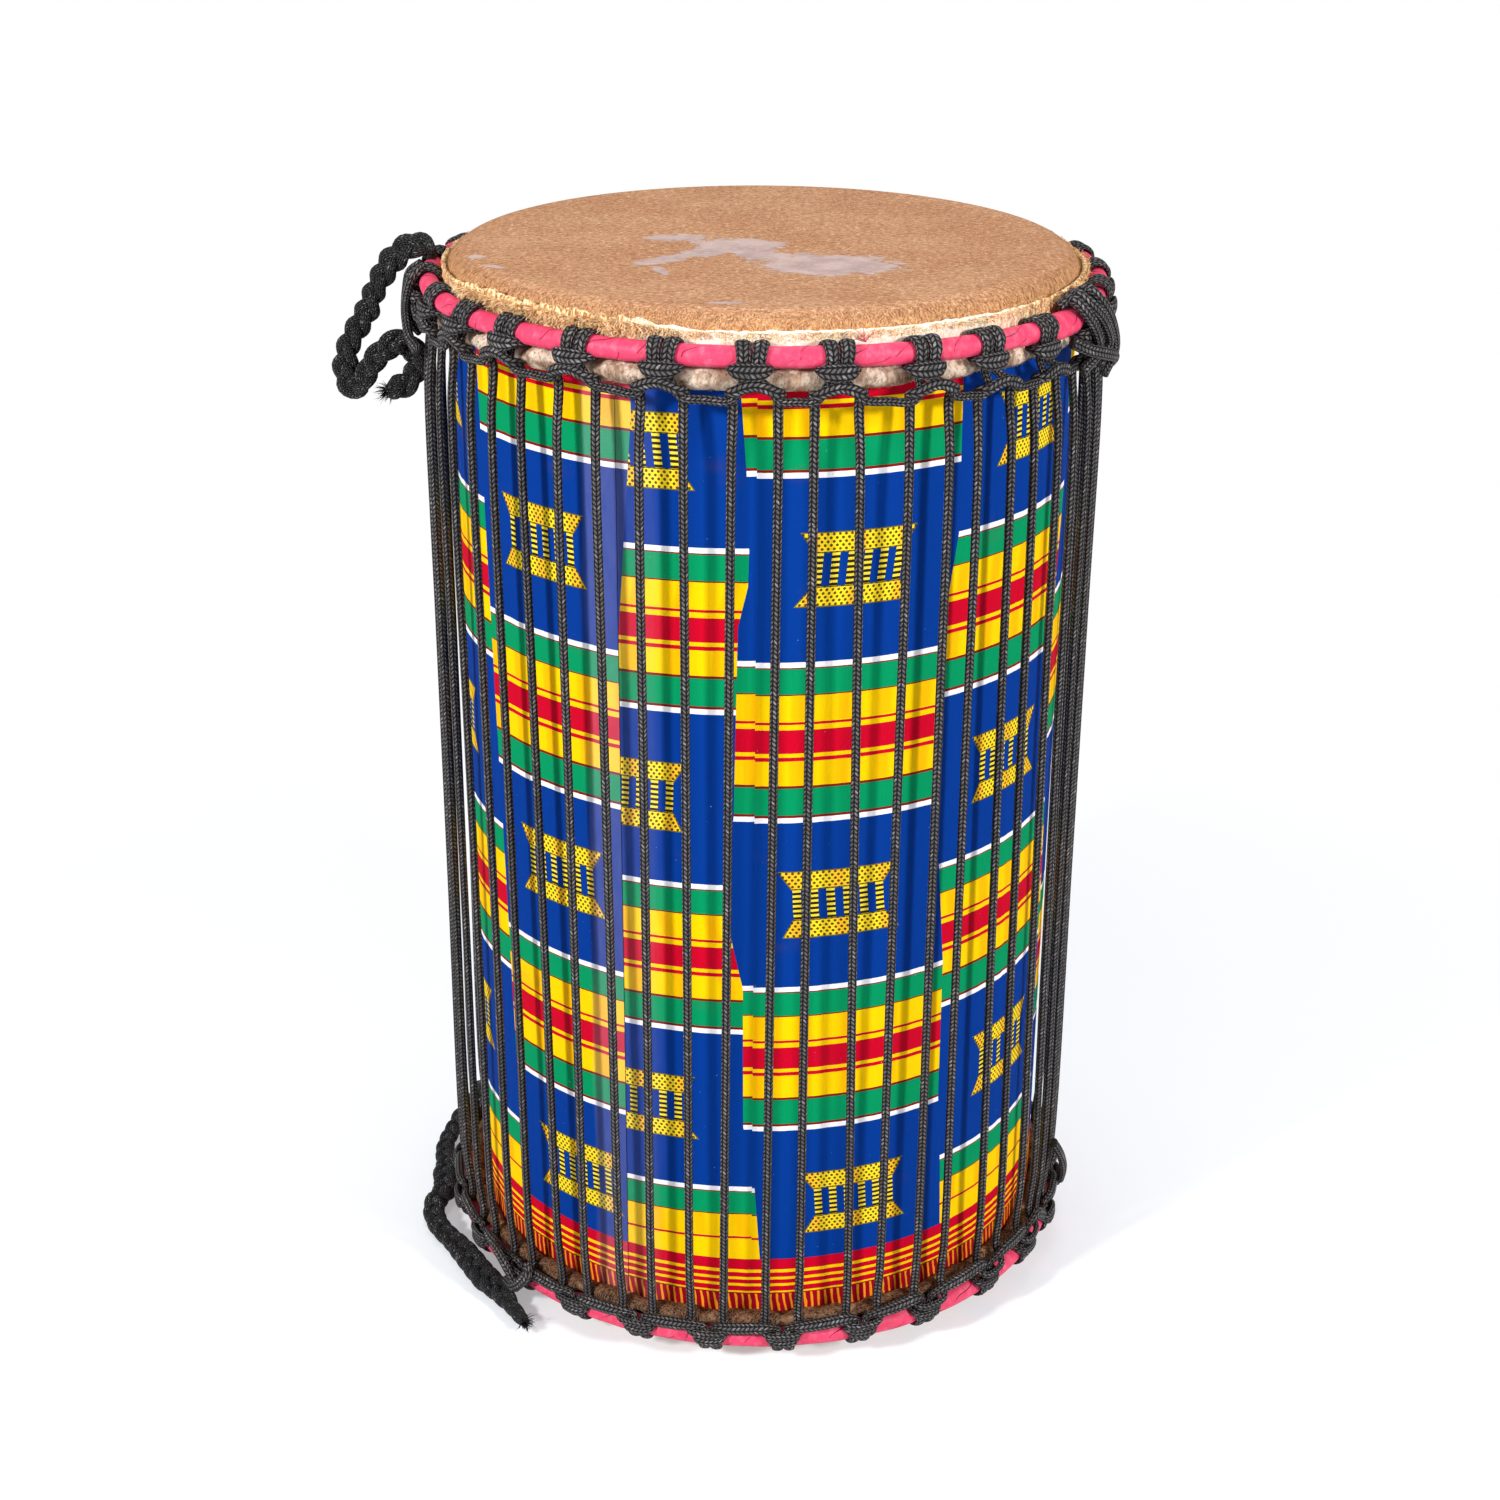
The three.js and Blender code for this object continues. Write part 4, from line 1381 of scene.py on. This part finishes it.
    def rim(self, finish: Material) -> None:
        """Short hairs that lie out and down over the rim of the playing face."""
        rng = np.random.default_rng(31)
        each = (6500, 1)
        out, sideways = axes(np.radians(rng.uniform(-190.0, 10.0, each)))
        bend = rng.uniform(0.5, math.pi / 2, each)
        normal = out * np.sin(bend) + UP * np.cos(bend)
        root = (out * (self.bend_start + self.bend_reach * np.sin(bend) + 0.1)
                + UP * (HEIGHT_MM - self.bend_depth + self.bend_depth * np.cos(bend) + 0.1))
        flow = unit(out * np.cos(bend) - UP * np.sin(bend)
                    + sideways * rng.normal(0.0, 0.35, each))
        ribbons("top_rim_hair", root, normal, flow, rng.uniform(1.2, 3.2, each),
                rng.uniform(0.2, 0.45, each), finish)


@dataclass
class CrownTape:
    """One crown ring in its tape, and at the lower end the flesh ring below it."""

    end: End
    radius: float = 5.35
    rod: float = 4.0
    lower_flesh_rod: float = 2.9

    def build(self, finish: Material, steel: Material) -> None:
        """Rod rings and the uneven tape, thickest where a loose flap of it lies.

        Args:
            finish: The tape's finish.
            steel: The rods' finish.
        """
        end = self.end

        def shape(angle: Array, run: Array) -> Array:
            """Puffs the tape out in lumps and lowers it with the ring."""
            theta = -run / self.radius
            lump = bumps(angle, 12, 50 + int(end.upright), 12) * 0.2
            if end.upright:
                flap = np.exp(-((np.degrees(angle) + 90.0 - 57.0) / 5.5) ** 4)
                lump = lump + flap * (0.9 + 1.3 * np.clip(np.cos(theta + 0.9), 0.0, 1.0))
            lift = lump * np.sin(theta)
            return np.stack([lump * np.cos(theta), lift], axis=-1) + sink(angle, run)

        def sink(angle: Array, run: Array) -> Array:
            """Lowers the rod where the ring lies low."""
            return np.stack([run * 0.0, -end.ring_drop(angle) * end.flip], axis=-1)

        rods = [("crown_ring", CROWN_RADIUS_MM, end.crown_depth, self.rod, sink)]
        if not end.upright:
            rods.append(("flesh_ring", FLESH_RADIUS_MM, end.flesh_depth, self.lower_flesh_rod,
                         None))
        for name, radius, depth, thick, move in rods:
            rod = circle(radius, end.height(depth), thick, 12)
            surface(f"{end.name}_{name}_rod", [ring_grid(rod, 270, move, closed=True)], steel,
                    f"{end.name}_{name}")
        outline = circle(CROWN_RADIUS_MM, end.height(end.crown_depth), self.radius, 24)
        grid = ring_grid(outline, 720, shape, closed=True)
        grid.layout[..., 1] /= math.tau * self.radius
        grid.layout = grid.layout[..., ::-1]
        surface(f"{end.name}_tape", [grid], finish, f"{end.name}_ring_wrap")
        if end.upright:
            self.threads(finish)

    def threads(self, finish: Material) -> None:
        """Frayed threads of the tape at two places in front."""
        rng = np.random.default_rng(12)
        front = np.concatenate([rng.normal(16.3, 0.3, (12, 1)), rng.normal(61.8, 1.6, (46, 1))])
        each = front.shape
        out, sideways = axes(np.radians(front - 90.0))
        root = out * rng.uniform(178.4, 180.4, each) + UP * rng.uniform(587, 588.6, each)
        flow = unit(sideways * rng.normal(-0.5, 0.6, each) + UP * rng.uniform(0.1, 0.9, each)
                    - out * rng.uniform(-0.4, 0.9, each))
        ribbons("top_tape_threads", root, out * 0.6 + UP * 0.8, flow,
                rng.uniform(3.0, 9.0, each), rng.uniform(0.35, 0.7, each), finish)


@dataclass
class Roping:
    """The two cradles hitched round the crown ring at each end, and the lacing between them."""

    sides: int = 14
    fine: float = 1.8
    coarse: float = 14.0
    lacing_parts: int = 9
    lacing_radius: float = 182.9
    lacing_size: Pair = (4.8, 4.4)
    loose_size: Pair = (6.6, 4.8)

    def cradle(self, end: End, finish: Material) -> None:
        """One closed rope through every hitch of an end, and the loose turns over it.

        Args:
            end: The end.
            finish: The rope's finish.
        """
        moves = end.wander()
        hitches = end.carry(mirrored(end.hitch), moves)
        stations = np.concatenate([hitches, end.between(moves)], axis=1).reshape(-1, 8)
        rows, _ = resample(stations, True, self.fine, self.coarse)
        grids = [sweep(rows, True, self.sides), *(self.turn(turn) for turn in end.loose)]
        surface(f"{end.name}_cradle_rope", grids, finish, f"{end.name}_cradle")

    def turn(self, stations: Sequence[Point]) -> Grid:
        """A loose turn of rope laid over a hitch.

        Args:
            stations: Degrees from the front, radius and height at each bend.

        Returns:
            Its grid.
        """
        angle, radius, height = np.array(stations).T[..., None]
        out, _ = axes(np.radians(angle - 90.0))
        size = np.tile(self.loose_size, (len(angle), 1))
        data = np.concatenate([out * radius + UP * height, out, size], axis=1)
        rows, _ = resample(data, False, self.fine, 4.0)
        return sweep(rows, False, self.sides)

    def lacing(self, ends: Sequence[End], finish: Material) -> None:
        """One closed rope, up and down through every turn, cut into parts that abut.

        Args:
            ends: The upper and the lower end.
            finish: The rope's finish.
        """
        upper, lower = (end.carry(mirrored(end.turn), end.wander()) for end in ends)
        lines = []
        for start, stop in ((upper[:, -1], lower[:, 0]),
                            (lower[:, -1], np.roll(upper[:, 0], -1, axis=0))):
            share = np.array([0.06, 0.3, 0.6, 0.94])[None, :, None]
            line = start[:, None] * (1 - share) + stop[:, None] * share
            radius = np.linalg.norm(line[:, :, :2], axis=2, keepdims=True)
            line[:, :, :2] *= self.lacing_radius / radius
            line[:, :, 3:6] = -line[:, :, :3] * LEVEL / self.lacing_radius
            line[:, :, 6:8] = self.lacing_size
            lines.append(line)
        stations = np.concatenate([upper, lines[0], lower, lines[1]], axis=1)
        rows, starts = resample(stations.reshape(-1, 8), True, self.fine, self.coarse)
        grid = sweep(rows, True, self.sides)
        points = np.concatenate([grid.points, grid.points[:1]])
        each = HITCHES // self.lacing_parts * stations.shape[1]
        cuts = starts[np.arange(self.lacing_parts + 1) * each]
        for number, (first, last) in enumerate(zip(cuts[:-1], cuts[1:])):
            part = Grid(points[first:last + 1], grid.layout[first:last + 1], around=True)
            surface(f"lacing_{number + 1}", [part], finish,
                    "" if number else "lacing")


@dataclass
class Tail:
    """A free end of the lacing, chained back on itself so that it lies like a plait."""

    name: str
    route: tuple[Point, ...]
    facing: Point
    girth: tuple[Pair, ...]
    diameter: float = 10.0
    strand: float = 6.0
    spread: float = 3.5
    rise: float = 1.9
    period: float = 33.0
    clearance: float = 1.3

    def build(self, finish: Material) -> None:
        """Three strands, a third of a turn apart, round one route.

        Each swings from side to side by a sine, and over and under by a sine twice as fast. The
        strands draw together at both ends, and a tail on the floor is lifted clear of it.

        Args:
            finish: The rope's finish.
        """
        lying = self.facing[2] > 0.5
        centre, _ = resample(np.array(self.route), False, 1.6, 1.6)
        ahead = unit(np.gradient(centre, axis=0))
        side = unit(np.cross(ahead, unit(centre * LEVEL) * 0.4 + np.array(self.facing)))
        lift = np.cross(side, ahead)
        run = lengths(centre)
        grow = np.minimum(1.0, np.minimum(run / 8.0, (run[-1] - run) / 7.0))[:, None]
        girth = np.interp(run / run[-1], *np.array(self.girth).T)[:, None]
        if lying:
            low = centre[:, 2:3] - self.rise * girth - self.strand * girth ** 0.4 / 2
            centre = centre + UP * np.maximum(self.clearance - low, 0.0)
        size = self.strand * girth ** 0.4 * (0.62 + 0.38 * np.minimum(1.0, grow * 2.0))
        grids = []
        for part in range(3):
            phase = (run / self.period * math.tau + part * math.tau / 3)[:, None]
            line = (centre + side * np.sin(phase) * self.spread * girth * (0.25 + 0.75 * grow)
                    + lift * np.sin(2 * phase) * self.rise * girth * (0.3 + 0.7 * grow))
            data = np.concatenate([line, lift, size, size * 0.92], axis=1)
            grids.append(sweep(data, False, 12))
        item = surface(f"{self.name}_plait", grids, finish, self.name)
        tuple(centre[0] * MM)
        (centre[::3] * MM).tolist()
        self.fray(centre[-1] - ahead[-1], ahead[-1], lying, finish)

    def fray(self, tip: Array, ahead: Array, lying: bool, finish: Material) -> None:
        """A spray of fibres at the cut end.

        Args:
            tip: Where they start.
            ahead: The way the rope points there.
            lying: Whether the tail lies on the floor, so that none may point down.
            finish: The rope's finish.
        """
        rng = np.random.default_rng(5)
        each = (90, 1)
        spray = rng.normal(0.0, 1.0, (90, 3))
        flow = ahead + spray * 0.45
        if lying:
            flow[:, 2] = np.abs(flow[:, 2]) * 0.4
        flow = unit(flow)
        ribbons(f"{self.name}_fray", tip + spray * 0.9, unit(np.cross(flow, spray)), flow,
                rng.uniform(3.0, 9.0, each), rng.uniform(0.3, 0.8, each), finish)


TAILS = (
    Tail("top_tail", (
        (-179.8, 2, 587.55), (-181.1, 2, 591.4), (-184.9, 1.6, 594.4), (-190.4, 1, 594.8),
        (-197, 0, 590.6), (-203.5, 0, 583.6), (-208.4, 0, 575.7), (-213, 1, 567),
        (-216.8, 2, 558.1), (-221, 2, 551.5), (-224, 1, 546.2), (-227.4, 0, 540), (-229, -1, 533),
        (-229.6, -2.5, 525.5), (-227.6, -5, 519.4), (-222.6, -8.5, 518.6), (-217.8, -11, 524.6),
        (-213.6, -12, 532), (-208, -12.4, 538.6), (-201, -12, 543.6), (-194.6, -11, 544.4),
        (-190.2, -9.6, 539.6), (-189.2, -8.6, 532), (-191.6, -8.6, 524.4), (-198, -9.4, 519.2),
        (-206, -10, 516.4)), (0.0, -1.0, 0.2), (
        (0.0, 0.9), (0.05, 1.15), (0.16, 1.3), (0.24, 1.0), (0.33, 1.2), (0.42, 1.05), (0.5, 1.3),
        (0.62, 1.0), (0.78, 1.25), (0.9, 1.1), (1.0, 1.3))),
    Tail("bottom_tail", (
        (-171.9, 79.1, 26.4), (-176.5, 81.3, 25.8), (-183, 81.4, 22), (-189.4, 76.6, 15.4),
        (-194.2, 68, 9.4), (-198, 56, 6.4), (-200.8, 43, 5.8), (-201.4, 31.1, 5.7),
        (-200, 22, 5.7), (-197.6, 14.7, 5.7), (-197.2, 6, 5.7), (-197, -2.6, 5.7),
        (-194.8, -13, 5.7), (-195, -22.8, 5.7), (-198.4, -32, 5.7), (-198.8, -41, 5.7),
        (-196.4, -50, 5.7), (-191.9, -60.1, 5.7), (-181.9, -74, 5.7), (-170, -92.9, 5.7),
        (-157.7, -113, 5.7), (-147.2, -125, 5.7), (-139.8, -137.9, 5.7), (-130, -153.5, 5.7)),
        (0.0, 0.0, 1.0), (
        (0.0, 0.9), (0.14, 1.05), (0.24, 0.85), (0.36, 1.3), (0.46, 1.38), (0.54, 1.05),
        (0.64, 1.0), (0.72, 1.3), (0.83, 1.38), (0.89, 1.15), (0.93, 0.62), (1.0, 0.56))))


@dataclass
class Cloth:
    """The printed cloth, wrapped once round the shell and laid out as abutting panels."""

    low: float = 27.0
    high: float = 575.0
    seam: float = -72.0
    lap: float = 9.0
    columns: int = 10
    rows: int = 2
    steps: tuple[int, int] = (32, 56)

    def build(self, finish: Material) -> None:
        """Lays the panels, and hides the CAD's cloth once the first is made.

        Args:
            finish: The print.
        """
        for column in range(self.columns):
            for row in range(self.rows):
                item = self.panel(column, row, finish)
                if column == row == 0:
                    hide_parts("cloth_wrap")

    def panel(self, column: int, row: int, finish: Material) -> bpy.types.Object:
        """A patch of a cylinder with faint upright wrinkles and a lapped seam.

        The radius is the shell's with a sum of sines cut off below, and it steps out over the lap.

        Args:
            column: The panel's place round the shell, from the seam.
            row: Its place up the shell.
            finish: The print.

        Returns:
            The panel.
        """
        width, height = CLOTH_ROUND_MM / self.columns, (self.high - self.low) / self.rows
        across = self.seam + np.linspace(column, column + 1, self.steps[0] + 1) * width
        up = self.low + np.linspace(row, row + 1, self.steps[1] + 1) * height
        s, z = np.meshgrid(across, up, indexing="ij")
        angle = s / CLOTH_RADIUS_MM - math.pi / 2
        crease = bumps(angle, 16, 90, 9) * 0.22 + bumps(angle + z * 0.0002, 14, 91, 34) * 0.2
        past = s - (self.seam + CLOTH_ROUND_MM - self.lap)
        over = np.where(past > 0.0, 1.0, np.exp(-(np.clip(past, -30.0, 9.0) / 4.0) ** 2))
        radius = CLOTH_RADIUS_MM + 0.12 + np.maximum(crease + 0.4, 0.0) + over * 0.5
        points = np.stack([radius * np.cos(angle), radius * np.sin(angle), z], axis=2)
        grid = Grid(points, np.stack([s, z], axis=2)).reversed()
        item = surface(f"cloth_{column + 1}_{row + 1}", [grid], finish)
        width * MM
        height * MM
        return item


def place_camera() -> None:
    """The photo's camera, a little above the drum, turned by yaw, pitch and roll."""
    scene = bpy.context.scene
    scene.view_settings.view_transform = "Standard"
    lens = bpy.data.cameras.new("camera")
    lens.lens, lens.sensor_width, lens.clip_start = 59.468, 36.0, 0.05
    camera = bpy.data.objects.new("camera", lens)
    yaw, pitch, roll = math.radians(-1.11), math.radians(23.23), math.radians(0.36)
    flat = Vector((math.sin(yaw), math.cos(yaw), 0.0))
    right = Vector((math.cos(yaw), -math.sin(yaw), 0.0))
    ahead = flat * math.cos(pitch) - Vector((0.0, 0.0, 1.0)) * math.sin(pitch)
    up = right.cross(ahead)
    tilted_right = right * math.cos(roll) + up * math.sin(roll)
    tilted_up = up * math.cos(roll) - right * math.sin(roll)
    turn = Matrix((tilted_right, tilted_up, -ahead)).transposed().to_4x4()
    camera.matrix_world = Matrix.Translation((0.0200, -1.3324, 0.8731)) @ turn
    scene.collection.objects.link(camera)
    scene.camera = camera


def light_studio() -> None:
    """Three soft lamps, and a dim world that the camera sees as white."""
    scene = bpy.context.scene
    for name, place, size, power in (
            ("key", (-1.6, -1.6, 1.45), 0.3, 54.0), ("fill", (1.8, -1.5, 1.3), 0.34, 46.0),
            ("top", (0.1, 0.6, 2.4), 1.2, 16.0)):
        lamp = bpy.data.lights.new(name, "AREA")
        lamp.size, lamp.energy = size, power
        item = bpy.data.objects.new(name, lamp)
        item.location = place
        aim = Vector((0.0, 0.0, 0.3)) - Vector(place)
        item.rotation_euler = aim.to_track_quat("-Z", "Y").to_euler()
        scene.collection.objects.link(item)
    scene.world = bpy.data.worlds.new("world")
    graph = Graph("world", scene.world)
    rays = graph.node("LightPath").outputs
    seen = graph.math("MAXIMUM", rays["Is Camera Ray"], rays["Is Transmission Ray"])
    soft = graph.node("Background", {0: (0.95, 0.97, 1.0), 1: 0.36})
    white = graph.node("Background", {0: (1.0, 1.0, 1.0), 1: 1.0})
    mix = graph.node("MixShader", {0: seen, 1: soft.outputs[0], 2: white.outputs[0]})
    graph.node("OutputWorld", {0: mix.outputs[0]})


def lay_floor() -> None:
    """A matt floor that keeps the shadow near the drum and fades to white away from it."""
    reach = 6.0
    mesh = bpy.data.meshes.new("floor")
    mesh.from_pydata([(-reach, -reach, 0.0), (reach, -reach, 0.0), (reach, reach, 0.0),
                      (-reach, reach, 0.0)], [], [(0, 1, 2, 3)])
    item = bpy.data.objects.new("floor", mesh)
    bpy.context.scene.collection.objects.link(item)
    graph = Graph("floor")
    rays = graph.node("LightPath").outputs
    seen = graph.math("MAXIMUM", rays["Is Camera Ray"], rays["Is Glossy Ray"])
    x, y, _ = graph.split(graph.place())
    away = ((x * x + y * y) ** 0.5).ramp(0.3, 0.82)
    matt = graph.node("BsdfDiffuse", {0: (0.7, 0.72, 0.75)})
    glow = graph.node("Emission", {0: (0.97, 0.98, 1.0), 1: seen * 0.34})
    near = graph.node("AddShader", {0: matt.outputs[0], 1: glow.outputs[0]})
    white = graph.node("Emission")
    mix = graph.node("MixShader", {0: away * seen, 1: near.outputs[0], 2: white.outputs[0]})
    graph.node("OutputMaterial", {0: mix.outputs[0]})
    mesh.materials.append(graph.owner)


def main() -> None:
    """Builds the drum on its frame."""
    logging.basicConfig(level=logging.INFO, format="%(name)s: %(message)s")
    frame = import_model()
    place_camera()
    rope = RopeFinish("black_rope").build()
    lace = RopeFinish("black_lace", columns=6.0).build()
    # The chain's last two colours are its base and the painted highlight on its stitches.
    chain = RopeFinish("black_chain", 14.0, 1.7, srgb(20, 20, 21), srgb(92, 92, 94)).build()
    for tail in TAILS:
        tail.build(chain)
    steel = SteelFinish().build()
    for node, finish in (("top_flesh_ring", steel), ("shell", WoodFinish().build())):
        materials = frame["nodes"][node].data.materials
        materials.clear()
        materials.append(finish)
    Cloth().build(ClothFinish().build())
    hide = {part: HideFinish(part).build() for part in HidePart}
    hair = {name: HairFinish(name, root, tip).build() for name, root, tip in (
        ("pale_hair", srgb(226, 170, 106), srgb(255, 232, 184)),
        ("dark_hair", srgb(104, 74, 56), srgb(206, 176, 148)),
        ("rim_hair", srgb(192, 134, 86), srgb(244, 196, 142)))}
    tape = TapeFinish().build()
    roping = Roping()
    for end in (TOP, BOTTOM):
        Head(end).build(hide, hair)
        CrownTape(end).build(tape, steel)
        roping.cradle(end, rope)
    roping.lacing((TOP, BOTTOM), lace)
    light_studio()
    lay_floor()


if __name__ == "__main__":
    main()
